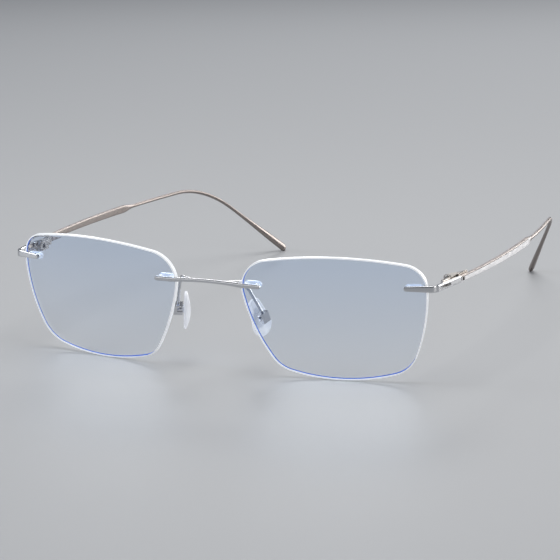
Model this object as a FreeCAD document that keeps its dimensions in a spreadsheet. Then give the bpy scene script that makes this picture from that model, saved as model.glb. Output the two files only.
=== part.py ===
import FreeCAD, Part
import math
import os

from FreeCAD import Placement, Rotation, Vector

# Rimless eyeglasses. X points to the wearer's left, Y from the lenses to the temple tips, Z up.
# They are built level, as worn, with the lens box centres at height zero. The wearer's left
# side is made first and mirrored. The finished pieces are then tipped and lifted together, so
# that the lenses and the temple tips rest on the floor, with the origin on the floor under
# the middle of the whole.

doc = FreeCAD.newDocument("rimless_glasses")

# Driving sizes, in millimetres and degrees.
sizeRows = [
    # lens outline: overall box, then each corner's inset from the box and its radius
    ("lensWidth", 53.0), ("lensHeight", 37.1), ("lensGap", 20.3),
    ("topOuterInsetX", 7.6), ("topOuterInsetY", 9.15), ("topOuterRadius", 7.45),
    ("topInnerInsetX", 8.8), ("topInnerInsetY", 10.9), ("topInnerRadius", 8.85),
    ("lowInnerInsetX", 15.35), ("lowInnerInsetY", 9.95), ("lowInnerRadius", 8.5),
    ("lowOuterInsetX", 12.8), ("lowOuterInsetY", 11.3), ("lowOuterRadius", 9.75),
    ("topSideRadius", 98.9), ("innerSideRadius", 56.5),
    ("lowSideRadius", 59.2), ("outerSideRadius", 54.5),
    # lens body: middle thickness, two spherical faces, optical centre off the box centre
    ("lensThick", 1.15), ("frontRadius", 127.0), ("backRadius", 109.8), ("lensBlank", 24.0),
    ("opticInward", 2.13), ("opticRise", 4.29), ("wrapAngle", 8.03), ("leanAngle", 9.71),
    # stud mounts: insets from the lens box, studs, plugs and clamp plates
    ("nasalInset", 3.1), ("nasalDrop", 9.95), ("endInset", 3.65), ("endDrop", 8.45),
    ("studPitch", 3.2), ("studDiameter", 0.9), ("plugDiameter", 1.4), ("seatGap", 0.15),
    ("barOverhang", 1.35), ("clampThick", 0.6), ("clampHeight", 1.9), ("clampGap", 0.2),
    ("studProud", 0.25),
    # bridge
    ("bridgeDepth", 1.1), ("bridgeEndHeight", 1.3), ("bridgeMidHeight", 1.0),
    ("bridgeArch", 0.45), ("bridgeFillet", 0.3),
    # endpiece
    ("armThick", 1.0), ("armTipHeight", 1.4), ("armHeight", 1.9), ("armFront", 5.75),
    ("armRear", 15.4), ("armBendRadius", 2.2), ("armHeading", 6.4),
    ("armSlotLength", 6.5), ("armSlotHeight", 0.85), ("armSlotStart", 2.2),
    # hinge
    ("pinInboard", 2.0), ("pinForward", 3.7), ("pinDiameter", 1.0), ("runClearance", 0.03),
    ("knuckleRadius", 1.15), ("hingeHeight", 2.6), ("tongueHeight", 1.0), ("washerThick", 0.07),
    ("washerClearance", 0.03), ("leafThick", 0.7), ("leafLength", 4.4), ("webShare", 0.25),
    ("forkReach", 6.3), ("forkSlopeShare", 0.6),
    ("knuckleClearance", 0.35), ("headDiameter", 1.9), ("headHeight", 0.35),
    ("driverWidth", 0.3), ("driverDepth", 0.18), ("jointGap", 0.15),
    # temple
    ("templeLength", 145.6), ("templeHeading", 3.8), ("templeStraight", 8.0),
    ("templeBow", 357.0), ("templeToBend", 89.7), ("bendRadius", 39.0), ("bendAngle", 41.3),
    ("bendInward", 25.3), ("bladeThick", 1.2), ("bladeFrontHeight", 1.6),
    ("bladeRearHeight", 2.3), ("bladeLength", 57.0), ("bladeTaper", 7.0), ("bladeEndHeight", 0.275),
    ("rodDiameter", 1.1),
    ("tipWidth", 2.8), ("tipThick", 1.7), ("notchLength", 1.0), ("notchHeight", 0.9),
    ("notchStart", 0.55),
    # nose pads, their boxes and wires
    ("padOutset", 2.68), ("padBehind", 5.27), ("padBelow", 1.84),
    ("padLean", 19.6), ("padFrontal", 11.0), ("padSplay", 23.7),
    ("padLength", 12.0), ("padLowRadius", 3.5), ("padTopRadius", 2.0), ("padThick", 1.9),
    ("padStandoff", 1.15), ("padDrop", 0.4), ("padRound", 0.7),
    ("coreLength", 6.6), ("coreWidth", 3.0), ("coreThick", 0.6), ("coreDepth", 0.5),
    ("lugWidth", 1.4), ("lugLength", 1.8), ("lugDrop", 0.85), ("lugClearance", 0.1),
    ("cheekThick", 0.5), ("boxLength", 3.0), ("boxRise", 0.75), ("boxDrop", 1.75),
    ("boxWall", 0.35), ("padPinDiameter", 1.0), ("padHeadDiameter", 1.7),
    ("padHeadHeight", 0.4), ("wireDiameter", 0.9), ("wireBend", 1.4), ("wireStart", 4.3),
    ("wireEdgeGap", 0.75), ("wireBehind", 0.4), ("wireFall", 2.6), ("wireBoxDepth", 0.6),
]

sheet = doc.addObject("Spreadsheet::Sheet", "sizes")
cellAliases = []


def addCell(alias, number):
    cellAliases.append(alias)
    row = len(cellAliases)
    sheet.set("A%d" % row, alias)
    sheet.set("B%d" % row, repr(round(number, 6)))
    sheet.setAlias("B%d" % row, alias)


for rowAlias, rowNumber in sizeRows:
    addCell(rowAlias, rowNumber)
doc.recompute()


def size(alias):
    return float(getattr(sheet, alias))


def derive(alias, number):
    """Keep a worked-out size in the sheet, so that features can be tied to it."""
    addCell(alias, number)
    doc.recompute()
    return number


# ---- building helpers


def bind(item, **links):
    """Tie properties of an object to a formula over cells of the sheet."""
    for name, formula in links.items():
        item.setExpression(name, formula)


def cells(formula):
    """Put the sheet's name before each alias in a formula."""
    words = formula.replace("(", " ( ").replace(")", " ) ").split()
    return " ".join("sizes." + w if w[0].isalpha() else w for w in words)


def at(x, y, z, rotation=None):
    return Placement(Vector(x, y, z), rotation or Rotation())


def polygon(points):
    loop = [Vector(x, y, 0) for x, y in points]
    return [Part.LineSegment(a, b) for a, b in zip(loop, loop[1:] + loop[:1])]


def line(a, b):
    return Part.LineSegment(Vector(a[0], a[1], 0), Vector(b[0], b[1], 0))


def arcThrough(a, middle, b):
    return Part.Arc(Vector(a[0], a[1], 0), Vector(middle[0], middle[1], 0), Vector(b[0], b[1], 0))


def padFeature(body, role, edges, length, rise=None, centred=True):
    """Pad of a closed outline on one of the body's origin planes."""
    sketch = body.newObject("Sketcher::SketchObject", body.Name + "_outline")
    support = next(f for f in body.Origin.OriginFeatures if f.Role == role)
    sketch.AttachmentSupport = [(support, "")]
    sketch.MapMode = "FlatFace"
    if rise:
        bind(sketch, **{"AttachmentOffset.Base.z": cells(rise)})
    sketch.addGeometry(edges, False)
    pad = body.newObject("PartDesign::Pad", body.Name + "_pad")
    pad.Profile = sketch
    pad.SideType = "Symmetric" if centred else "One side"
    bind(pad, Length=cells(length))
    body.Tip = pad
    return pad


def padBody(name, role, edges, length, rise=None, centred=True, place=None):
    body = doc.addObject("PartDesign::Body", name)
    padFeature(body, role, edges, length, rise, centred)
    body.Placement = place or Placement()
    return body


def roundBody(body, radius, chosen):
    """Fillet of the chosen edges of a body's last feature."""
    doc.recompute()
    base = body.Tip
    names = ["Edge%d" % (i + 1) for i, e in enumerate(base.Shape.Edges) if chosen(e)]
    fillet = body.newObject("PartDesign::Fillet", body.Name + "_fillet")
    fillet.Base = (base, names)
    bind(fillet, Radius=cells(radius))
    body.Tip = fillet


def cylinder(name, diameter, height, place):
    item = doc.addObject("Part::Cylinder", name)
    bind(item, Radius="(%s) / 2" % cells(diameter), Height=cells(height))
    item.Placement = place
    return item


def box(name, length, width, height, place):
    item = doc.addObject("Part::Box", name)
    bind(item, Length=cells(length), Width=cells(width), Height=cells(height))
    item.Placement = place
    return item


def fuse(name, pieces):
    item = doc.addObject("Part::MultiFuse", name)
    item.Shapes = pieces
    item.Refine = True
    return item


def cut(name, base, tool):
    item = doc.addObject("Part::Cut", name)
    item.Base = base
    item.Tool = tool
    return item


def common(name, base, tool):
    item = doc.addObject("Part::Common", name)
    item.Base = base
    item.Tool = tool
    return item


def group(name, pieces):
    item = doc.addObject("Part::Compound", name)
    item.Links = pieces
    return item


def sweepRod(name, edges, diameter):
    """Round rod along a path of lines and arcs that meet tangentially."""
    path = doc.addObject("Part::Feature", name + "_path")
    path.Shape = Part.Wire(edges)
    start = edges[0].FirstParameter
    ring = doc.addObject("Part::Circle", name + "_ring")
    bind(ring, Radius="(%s) / 2" % cells(diameter))
    ring.Placement = Placement(edges[0].valueAt(start),
                               Rotation(Vector(0, 0, 1), edges[0].tangentAt(start)))
    rod = doc.addObject("Part::Sweep", name)
    rod.Sections = [ring]
    rod.Spine = (path, ["Edge%d" % (i + 1) for i in range(len(edges))])
    rod.Solid = True
    rod.Frenet = False
    return rod


def roundedPath(points, radius):
    """Edges through the points, each inner corner rounded with an arc of one radius."""
    edges = []
    start = points[0]
    for before, corner, after in zip(points, points[1:], points[2:]):
        inward = (corner - before).normalize()
        onward = (after - corner).normalize()
        turn = inward.getAngle(onward)
        reach = radius * math.tan(turn / 2)
        arcStart = corner - inward * reach
        arcEnd = corner + onward * reach
        toCentre = (onward - inward).normalize()
        arcMiddle = corner + toCentre * (radius / math.cos(turn / 2) - radius)
        edges.append(Part.LineSegment(start, arcStart).toShape())
        edges.append(Part.Arc(arcStart, arcMiddle, arcEnd).toShape())
        start = arcEnd
    edges.append(Part.LineSegment(start, points[-1]).toShape())
    return edges


# ---- lens frame: X outward, Y up, Z to the front
halfWidth = size("lensWidth") / 2
halfHeight = size("lensHeight") / 2
wrap = math.radians(size("wrapAngle"))
lean = math.radians(size("leanAngle"))
lensOut = Vector(math.cos(wrap), math.sin(wrap), 0)
lensUp = Vector(0, -math.sin(lean), math.cos(lean))
lensUp = (lensUp - lensOut * lensUp.dot(lensOut)).normalize()
lensTurn = Rotation(lensOut, lensUp, lensOut.cross(lensUp), "ZXY")
optic = Vector(-size("opticInward"), size("opticRise"), 0)


def frontZ(x, y):
    """Height of the lens's front face in the lens frame."""
    off = (x - optic.x) ** 2 + (y - optic.y) ** 2
    return math.sqrt(size("frontRadius") ** 2 - off) - size("frontRadius") + size("lensThick") / 2


def backZ(x, y):
    """Height of the lens's back face in the lens frame."""
    off = (x - optic.x) ** 2 + (y - optic.y) ** 2
    return math.sqrt(size("backRadius") ** 2 - off) - size("backRadius") - size("lensThick") / 2


def lensOutline():
    """Four corner arcs, with a flatter arc along each side that is tangent to both its corners."""
    corners = []
    for name, sideX, sideY in (("topOuter", 1, 1), ("topInner", -1, 1),
                               ("lowInner", -1, -1), ("lowOuter", 1, -1)):
        centre = Vector(sideX * (halfWidth - size(name + "InsetX")),
                        sideY * (halfHeight - size(name + "InsetY")), 0)
        corners.append((centre, size(name + "Radius")))
    sides = []
    for i, name in enumerate(("topSide", "innerSide", "lowSide", "outerSide")):
        (first, r1), (second, r2) = corners[i], corners[(i + 1) % 4]
        radius = size(name + "Radius")
        span = (second - first).Length
        along = (second - first).normalize()
        reach1 = radius - r1
        reach2 = radius - r2
        foot = (reach1 ** 2 - reach2 ** 2 + span ** 2) / (2 * span)
        inside = Vector(-along.y, along.x, 0)
        centre = first + along * foot + inside * math.sqrt(reach1 ** 2 - foot ** 2)
        sides.append((centre, radius))
    edges = []
    for i in range(4):
        corner, cornerRadius = corners[i]
        centre, radius = sides[i]
        beforeCentre = sides[i - 1][0]
        nextCorner = corners[(i + 1) % 4][0]
        arcStart = corner + (corner - beforeCentre).normalize() * cornerRadius
        arcEnd = corner + (corner - centre).normalize() * cornerRadius
        middle = ((arcStart + arcEnd) / 2 - corner).normalize() * cornerRadius + corner
        sideEnd = centre + (nextCorner - centre).normalize() * radius
        sideMiddle = ((arcEnd + sideEnd) / 2 - centre).normalize() * radius + centre
        edges.append(Part.Arc(arcStart, middle, arcEnd))
        edges.append(Part.Arc(arcEnd, sideMiddle, sideEnd))
    return edges


def makeLensBlank():
    """Outline padded through, kept inside the front sphere and outside the back sphere."""
    blank = padBody("lens_blank", "XY_Plane", lensOutline(), "lensBlank")
    poleAway = Rotation(Vector(1, 0, 0), 90)
    front = doc.addObject("Part::Sphere", "lens_front_sphere")
    bind(front, Radius=cells("frontRadius"))
    front.Placement = at(optic.x, optic.y, size("lensThick") / 2 - size("frontRadius"), poleAway)
    back = doc.addObject("Part::Sphere", "lens_back_sphere")
    bind(back, Radius=cells("backRadius"))
    back.Placement = at(optic.x, optic.y, -size("lensThick") / 2 - size("backRadius"), poleAway)
    return cut("lens_curved", common("lens_domed", blank, front), back)


lensCurved = makeLensBlank()
lensX = size("lensGap") / 2 + halfWidth * math.cos(wrap)
lensY = -lensTurn.multVec(optic).y
lensPlace = at(lensX, lensY, 0, lensTurn)
lensCurved.Placement = lensPlace

# ---- side plan
nasalX = -(halfWidth - size("nasalInset"))
nasalY = halfHeight - size("nasalDrop")
endX = halfWidth - size("endInset")
endY = halfHeight - size("endDrop")
nasalGlass = derive("nasalGlass", frontZ(nasalX, nasalY) - backZ(nasalX, nasalY))
endGlass = derive("endGlass", frontZ(endX, endY) - backZ(endX, endY))
bridgeLean = size("leanAngle") - math.degrees((nasalY - optic.y) / size("frontRadius"))
armTurn = size("wrapAngle") + math.degrees((endX - optic.x) / size("frontRadius"))


def direction(angle):
    """Level direction, with the angle measured from X towards Y."""
    return Vector(math.cos(math.radians(angle)), math.sin(math.radians(angle)), 0)


def planSide():
    """Points that the bridge, the endpiece and the hinge are built on."""
    spots = {}
    spots["nasal"] = lensPlace.multVec(Vector(nasalX, nasalY, frontZ(nasalX, nasalY)))
    spots["end"] = lensPlace.multVec(Vector(endX, endY, frontZ(endX, endY)))
    frontAlong = direction(armTurn)
    frontNormal = direction(armTurn - 90)
    barLine = spots["end"] + frontNormal * (size("seatGap") + size("armThick") / 2)
    spots["armTip"] = barLine - frontAlong * (size("studPitch") / 2 + size("barOverhang"))
    spots["armCorner"] = barLine + frontAlong * size("armFront")
    rearAlong = direction(90 - size("armHeading"))
    spots["armEnd"] = spots["armCorner"] + rearAlong * size("armRear")
    spots["templeStart"] = spots["armEnd"] + rearAlong * size("jointGap")
    return spots


def templePath(start):
    """Centre line of the temple: points and directions at the bend and at the tip."""
    turn = Rotation(Vector(0, 0, 1), -size("templeHeading"))
    bow = size("templeBow")
    swing = (size("templeToBend") - size("templeStraight")) / bow
    frame = Placement(start, turn)
    bowEnd = Vector(-bow * (1 - math.cos(swing)),
                    size("templeStraight") + bow * math.sin(swing), 0)
    bendStart = frame.multVec(bowEnd)
    level = turn.multVec(Vector(-math.sin(swing), math.cos(swing), 0))
    inboard = turn.multVec(Vector(-math.cos(swing), -math.sin(swing), 0))
    lay = math.radians(size("bendInward"))
    fall = Vector(0, 0, -1) * math.cos(lay) + inboard * math.sin(lay)
    angle = math.radians(size("bendAngle"))
    radius = size("bendRadius")

    def onBend(part):
        a = angle * part
        return bendStart + level * (radius * math.sin(a)) + fall * (radius * (1 - math.cos(a)))

    drop = level * math.cos(angle) + fall * math.sin(angle)
    across = fall * math.cos(angle) - level * math.sin(angle)
    dropLength = size("templeLength") - size("templeToBend") - radius * angle
    return {"frame": frame, "swing": swing, "bendStart": bendStart, "onBend": onBend,
            "drop": drop, "across": across, "dropLength": dropLength}


plan = planSide()
temple = templePath(plan["templeStart"])

# The nasal mount faces the front square to X, and the end mount follows the endpiece.
nasalFrame = Placement(plan["nasal"], Rotation(Vector(1, 0, 0), 90 + bridgeLean))
bridgeFrame = Placement(Vector(0, plan["nasal"].y, plan["nasal"].z), nasalFrame.Rotation)
endFrame = Placement(plan["end"], Rotation(Vector(0, 0, 1), armTurn)
                     * Rotation(Vector(1, 0, 0), 90))
armFrame = Placement(plan["armEnd"], Rotation(Vector(0, 0, 1), -size("armHeading")))
templeFrame = temple["frame"]
pinSpot = armFrame.multVec(Vector(-size("pinInboard"), -size("pinForward"), 0))
pinInTemple = templeFrame.inverse().multVec(pinSpot)
studSpots = (-size("studPitch") / 2, size("studPitch") / 2)


def inFrame(frame, x, y, z, rotation=None):
    return frame.multiply(at(x, y, z, rotation))


def makeLens():
    """Curved blank with two stud holes at each mount."""
    drills = []
    for label, frame in (("nasal", nasalFrame), ("end", endFrame)):
        for i, x in enumerate(studSpots):
            place = inFrame(frame, x, 0, -size("lensBlank") / 2)
            drills.append(cylinder("%s_drill_%d" % (label, i), "plugDiameter", "lensBlank", place))
    return cut("lens_left", lensCurved, group("lens_drills", drills))


def makeSleeve(label, frame, glass):
    """Two plugs through the lens, joined behind it by a clamp plate, bored for the studs."""
    backFace = -(size(glass) + size("clampGap"))
    radius = size("clampHeight") / 2
    left, right = studSpots
    outline = [line((left, radius), (right, radius)),
               arcThrough((right, radius), (right + radius, 0), (right, -radius)),
               line((right, -radius), (left, -radius)),
               arcThrough((left, -radius), (left - radius, 0), (left, radius))]
    plate = padBody(label + "_plate", "XY_Plane", outline, "clampThick", centred=False,
                    place=inFrame(frame, 0, 0, backFace - size("clampThick")))
    plugs = [cylinder("%s_plug_%d" % (label, i), "plugDiameter",
                      "seatGap + clampGap + " + glass, inFrame(frame, x, 0, backFace))
             for i, x in enumerate(studSpots)]
    bores = [cylinder("%s_bore_%d" % (label, i), "studDiameter", "lensBlank",
                      inFrame(frame, x, 0, -size("lensBlank") / 2))
             for i, x in enumerate(studSpots)]
    return cut(label + "_left", fuse(label + "_solid", [plate] + plugs),
               group(label + "_bores", bores))


def makeStuds(label, frame, glass):
    """Studs from the bar's back face to just past the clamp plate."""
    length = "seatGap + clampGap + clampThick + studProud + " + glass
    end = -(size(glass) + size("clampGap") + size("clampThick") + size("studProud"))
    return [cylinder("%s_stud_%d" % (label, i), "studDiameter", length,
                     inFrame(frame, x, 0, end)) for i, x in enumerate(studSpots)]


def makeBridge():
    """Arched bar with rounded ends that lie on the two lenses."""
    mountX = plan["nasal"].x
    reach = size("studPitch") / 2 + size("barOverhang")
    endHalf = size("bridgeEndHeight") / 2
    midHalf = size("bridgeMidHeight") / 2
    arch = size("bridgeArch")
    neck = mountX - reach
    round0 = mountX + reach - endHalf
    tip = mountX + reach
    outline = [arcThrough((-neck, endHalf), (0, arch + midHalf), (neck, endHalf)),
               line((neck, endHalf), (round0, endHalf)),
               arcThrough((round0, endHalf), (tip, 0), (round0, -endHalf)),
               line((round0, -endHalf), (neck, -endHalf)),
               arcThrough((neck, -endHalf), (0, arch - midHalf), (-neck, -endHalf)),
               line((-neck, -endHalf), (-round0, -endHalf)),
               arcThrough((-round0, -endHalf), (-tip, 0), (-round0, endHalf)),
               line((-round0, endHalf), (-neck, endHalf))]
    bar = padBody("bridge_bar", "XY_Plane", outline, "bridgeDepth", rise="seatGap",
                  centred=False, place=bridgeFrame)
    frontFace = size("seatGap") + size("bridgeDepth")
    roundBody(bar, "bridgeFillet",
              lambda e: abs(e.BoundBox.ZMin - frontFace) < 1e-4)
    leftStuds = makeStuds("bridge_left", nasalFrame, "nasalGlass")
    farFrame = inFrame(bridgeFrame, -mountX, 0, 0)
    rightStuds = makeStuds("bridge_right", farFrame, "nasalGlass")
    return fuse("bridge", [bar] + leftStuds + rightStuds)


def stripEdges(start, corner, end, radius, width):
    """Plan outline of a strip of even width with one rounded corner, turning to the left."""
    along1 = (corner - start).normalize()
    along2 = (end - corner).normalize()
    side1 = Vector(-along1.y, along1.x, 0)
    side2 = Vector(-along2.y, along2.x, 0)
    reach = radius * math.tan(along1.getAngle(along2) / 2)
    bendIn = corner - along1 * reach
    bendOut = corner + along2 * reach
    centre = bendIn + side1 * radius
    halfway = (side1 + side2).normalize()
    half = width / 2

    def turnArc(offset):
        return Part.Arc(bendIn - side1 * offset, centre - halfway * (radius + offset),
                        bendOut - side2 * offset)

    return [Part.LineSegment(start - side1 * half, bendIn - side1 * half), turnArc(half),
            Part.LineSegment(bendOut - side2 * half, end - side2 * half),
            Part.LineSegment(end - side2 * half, end + side2 * half),
            Part.LineSegment(end + side2 * half, bendOut + side2 * half), turnArc(-half),
            Part.LineSegment(bendIn + side1 * half, start + side1 * half),
            Part.LineSegment(start + side1 * half, start - side1 * half)]


def makeEndpiece():
    """Bar on the lens, bent back to the hinge, with a long slot in its rear arm."""
    corner = plan["armCorner"]
    tip = plan["armTip"] - corner
    rear = plan["armEnd"] - corner
    here = Placement(corner, Rotation())
    strip = padBody("endpiece_strip", "XY_Plane",
                    stripEdges(tip, Vector(), rear, size("armBendRadius"), size("armThick")),
                    "armHeight * 2", place=here)
    tipHalf = size("armTipHeight") / 2
    armHalf = size("armHeight") / 2
    wide = rear.x + size("armThick") * 2
    growEnd = -size("armBendRadius")
    side = [arcThrough((tip.x + tipHalf, tipHalf), (tip.x, 0), (tip.x + tipHalf, -tipHalf)),
            line((tip.x + tipHalf, -tipHalf), (growEnd, -armHalf)),
            line((growEnd, -armHalf), (wide, -armHalf)),
            line((wide, -armHalf), (wide, armHalf)),
            line((wide, armHalf), (growEnd, armHalf)),
            line((growEnd, armHalf), (tip.x + tipHalf, tipHalf))]
    front = padBody("endpiece_front", "XZ_Plane", side, "armRear * 3", place=here)
    bar = common("endpiece_bar", strip, front)
    slotY = -size("armRear") + size("armSlotStart")
    slotPlace = inFrame(armFrame, -size("armThick"), slotY, -size("armSlotHeight") / 2)
    slot = box("endpiece_slot", "armThick * 2", "armSlotLength", "armSlotHeight", slotPlace)
    return fuse("endpiece_left",
                [cut("endpiece_slotted", bar, slot)] + makeStuds("end", endFrame, "endGlass"))


def knuckleBore(name, place, diameter):
    return cylinder(name, diameter, "hingeHeight * 2", place)


def makeTongue():
    """Single knuckle in the middle of the hinge, on a foot soldered inside the endpiece."""
    pinX = -size("pinInboard")
    pinY = -size("pinForward")
    radius = size("knuckleRadius")
    face = -size("armThick") / 2
    footX = face - size("leafThick")
    footRear = pinY - radius - size("knuckleClearance")
    footFront = footRear - size("leafLength")
    webFront = footFront + size("leafLength") * size("webShare")
    outline = [arcThrough((pinX + radius, pinY), (pinX, pinY + radius), (pinX - radius, pinY)),
               line((pinX - radius, pinY), (pinX - radius, footRear)),
               line((pinX - radius, footRear), (footX, webFront)),
               line((footX, webFront), (face, webFront)),
               line((face, webFront), (face, footRear)),
               line((face, footRear), (pinX + radius, pinY))]
    web = padBody("tongue_web", "XY_Plane", outline, "tongueHeight", place=armFrame)
    footPlace = inFrame(armFrame, footX, footFront, -size("hingeHeight") / 2)
    foot = box("tongue_foot", "leafThick", "leafLength", "hingeHeight", footPlace)
    bore = knuckleBore("tongue_bore", inFrame(armFrame, pinX, pinY, -size("hingeHeight")),
                       "pinDiameter + runClearance * 2")
    return cut("hinge_tongue_left", fuse("tongue_solid", [web, foot]), bore)


def makeFork():
    """Two prongs above and below the tongue, on a leaf soldered inside the temple."""
    pinX = pinInTemple.x
    pinY = pinInTemple.y
    radius = size("knuckleRadius")
    face = -size("bladeThick") / 2
    leafX = face - size("leafThick")
    start = size("jointGap")
    reach = size("forkReach")
    slopeEnd = reach * size("forkSlopeShare")
    outline = [arcThrough((pinX - radius, pinY), (pinX, pinY - radius), (pinX + radius, pinY)),
               line((pinX + radius, pinY), (pinX + radius, start)),
               line((pinX + radius, start), (face, start)),
               line((face, start), (face, reach)),
               line((face, reach), (leafX, reach)),
               line((leafX, reach), (leafX, slopeEnd)),
               line((leafX, slopeEnd), (pinX - radius, start)),
               line((pinX - radius, start), (pinX - radius, pinY))]
    block = padBody("fork_block", "XY_Plane", outline, "hingeHeight", place=templeFrame)
    gap = size("tongueHeight") / 2 + size("washerThick") + size("washerClearance")
    slotPlace = inFrame(templeFrame, pinX - radius * 2, pinY - radius * 2, -gap)
    slot = box("fork_slot", "knuckleRadius * 4", "knuckleRadius * 3 + knuckleClearance",
               "tongueHeight + washerThick * 2 + washerClearance * 2", slotPlace)
    bore = knuckleBore("fork_bore", inFrame(templeFrame, pinX, pinY, -size("hingeHeight")),
                       "pinDiameter")
    return cut("hinge_fork_left", block, group("fork_tools", [slot, bore]))


def makeScrew(name, frame, shankDiameter, shankLength, headDiameter, headHeight):
    """Slotted screw along a frame's Z axis, centred on its shank."""
    half = sum(size(w) for w in shankLength.split(" + ")) / 2
    shank = cylinder(name + "_shank", shankDiameter, shankLength, inFrame(frame, 0, 0, -half))
    head = cylinder(name + "_head", headDiameter, headHeight, inFrame(frame, 0, 0, half))
    top = half + size(headHeight) - size("driverDepth")
    slotPlace = inFrame(frame, -size(headDiameter), -size("driverWidth") / 2, top)
    slot = box(name + "_slot", headDiameter + " * 2", "driverWidth", headHeight, slotPlace)
    return cut(name, fuse(name + "_solid", [shank, head]), slot)


def makeWashers():
    """Thin nylon rings on the pin, one on each side of the tongue."""
    low = size("tongueHeight") / 2 + size("washerClearance")
    rings = []
    for label, z in (("upper", low), ("lower", -low - size("washerThick"))):
        place = Placement(pinSpot + Vector(0, 0, z), Rotation())
        disc = cylinder(label + "_disc", "knuckleRadius * 2", "washerThick", place)
        hole = cylinder(label + "_hole", "pinDiameter", "washerThick", place)
        rings.append(cut(label + "_washer", disc, hole))
    return group("hinge_washers_left", rings)


def bladeEdges():
    """Plan outline of the blade: a straight stretch, then the bow, with even thickness."""
    half = size("bladeThick") / 2
    straight = size("templeStraight")
    bow = size("templeBow")
    swing = (size("bladeLength") + size("bladeTaper") - straight) / bow

    def onBow(radius, angle):
        return (-bow + radius * math.cos(angle), straight + radius * math.sin(angle))

    outer = bow + half
    inner = bow - half
    return [line((half, 0), (half, straight)),
            arcThrough((half, straight), onBow(outer, swing / 2), onBow(outer, swing)),
            line(onBow(outer, swing), onBow(inner, swing)),
            arcThrough(onBow(inner, swing), onBow(inner, swing / 2), (-half, straight)),
            line((-half, straight), (-half, 0)),
            line((-half, 0), (half, 0))]


def makeTemple():
    """Blade that grows to the rear and narrows to a rod, which bends down to a wider tip."""
    frontHalf = size("bladeFrontHeight") / 2
    rearHalf = size("bladeRearHeight") / 2
    bladeEnd = size("bladeLength") + size("bladeTaper")
    endHalf = size("bladeEndHeight") / 2
    plank = padBody("blade_plan", "XY_Plane", bladeEdges(), "bladeRearHeight * 3",
                    place=templeFrame)
    side = polygon([(0, -frontHalf), (size("bladeLength"), -rearHalf), (bladeEnd, -endHalf),
                    (bladeEnd, endHalf), (size("bladeLength"), rearHalf), (0, frontHalf)])
    profile = padBody("blade_side", "YZ_Plane", side, "bladeLength", place=templeFrame)
    notchPlace = inFrame(templeFrame, -size("bladeThick"), size("notchStart"),
                         -size("notchHeight") / 2)
    notch = box("blade_notch", "bladeThick * 2", "notchLength", "notchHeight", notchPlace)
    blade = cut("blade", common("blade_bar", plank, profile), notch)

    bow = size("templeBow")
    rodStart = (size("bladeLength") - size("bladeTaper") / 2 - size("templeStraight")) / bow

    def onBow(angle):
        return templeFrame.multVec(Vector(-bow * (1 - math.cos(angle)),
                                          size("templeStraight") + bow * math.sin(angle), 0))

    onBend = temple["onBend"]
    middle = (rodStart + temple["swing"]) / 2
    path = [Part.Arc(onBow(rodStart), onBow(middle), temple["bendStart"]).toShape(),
            Part.Arc(onBend(0), onBend(0.5), onBend(1)).toShape()]
    rod = sweepRod("temple_rod", path, "rodDiameter")

    drop = temple["drop"]
    across = temple["across"]
    tipFrame = Placement(onBend(1), Rotation(across, drop.cross(across), drop, "ZXY"))
    fullAt = temple["dropLength"] - size("tipWidth") / 2
    flareShares = (0, 0.35, 0.75, 1)  # places along the flare, from the bend to the full width
    sections = []
    for i, share in enumerate(flareShares):
        ring = doc.addObject("Part::Ellipse", "tip_section_%d" % i)
        grow = math.sin(share * math.pi / 2) ** 2
        bind(ring, MajorRadius="(%s) / 2" % cells("rodDiameter + ( tipWidth - rodDiameter ) * %r"
                                                 % grow),
             MinorRadius="(%s) / 2" % cells("rodDiameter + ( tipThick - rodDiameter ) * %r"
                                            % grow))
        ring.Placement = inFrame(tipFrame, 0, 0, fullAt * share)
        sections.append(ring)
    flare = doc.addObject("Part::Loft", "tip_flare")
    flare.Sections = sections
    flare.Solid = True
    cap = doc.addObject("Part::Ellipsoid", "tip_cap")
    bind(cap, Radius1="(%s) / 2" % cells("tipWidth"), Radius2="(%s) / 2" % cells("tipWidth"),
         Radius3="(%s) / 2" % cells("tipThick"))
    cap.Placement = inFrame(tipFrame, 0, 0, fullAt)
    return fuse("temple_left", [blade, rod, flare, cap])


# ---- nose pad frame: X along the screw to the front, Y up the pad, Z from the box to the nose
padUp = Vector(-math.tan(math.radians(size("padFrontal"))),
               -math.tan(math.radians(size("padLean"))), 1).normalize()
padFace = direction(180 - size("padSplay"))
padFace = (padFace - padUp * padFace.dot(padUp)).normalize()
padTurn = Rotation(padUp.cross(padFace), padUp, padFace, "ZYX")
padFrame = Placement(Vector(size("lensGap") / 2 + size("padOutset"),
                            lensPlace.Base.y + size("padBehind"),
                            lensPlace.Base.z - size("padBelow")), padTurn)
boxHalf = size("lugWidth") / 2 + size("lugClearance") + size("cheekThick")


def acrossPad(name, diameter, reach):
    """Cylinder along the pad screw's axis, centred on the pad frame."""
    place = inFrame(padFrame, -size(reach) / 2, 0, 0, Rotation(Vector(0, 1, 0), 90))
    return cylinder(name, diameter, reach, place)


def makePadCore():
    """Hard insert: a plate inside the silicone and a bored lug that stands out of its back."""
    plateRise = size("padStandoff") + size("coreDepth")
    width = size("coreWidth")
    radius = width / 2
    half = size("coreLength") / 2 - radius
    outline = [line((radius, -half), (radius, half)),
               arcThrough((radius, half), (0, half + radius), (-radius, half)),
               line((-radius, half), (-radius, -half)),
               arcThrough((-radius, -half), (0, -half - radius), (radius, -half))]
    plate = padBody("core_plate", "XY_Plane", outline, "coreThick", centred=False,
                    place=inFrame(padFrame, 0, -size("padDrop"), plateRise))
    lugPlace = inFrame(padFrame, -size("lugWidth") / 2, -size("lugLength") / 2, -size("lugDrop"))
    lug = box("core_lug", "lugWidth", "lugLength",
              "lugDrop + padStandoff + coreDepth + coreThick", lugPlace)
    bore = acrossPad("core_bore", "padPinDiameter + runClearance * 2", "coreLength")
    return cut("pad_core_left", fuse("core_solid", [plate, lug]), bore)


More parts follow.
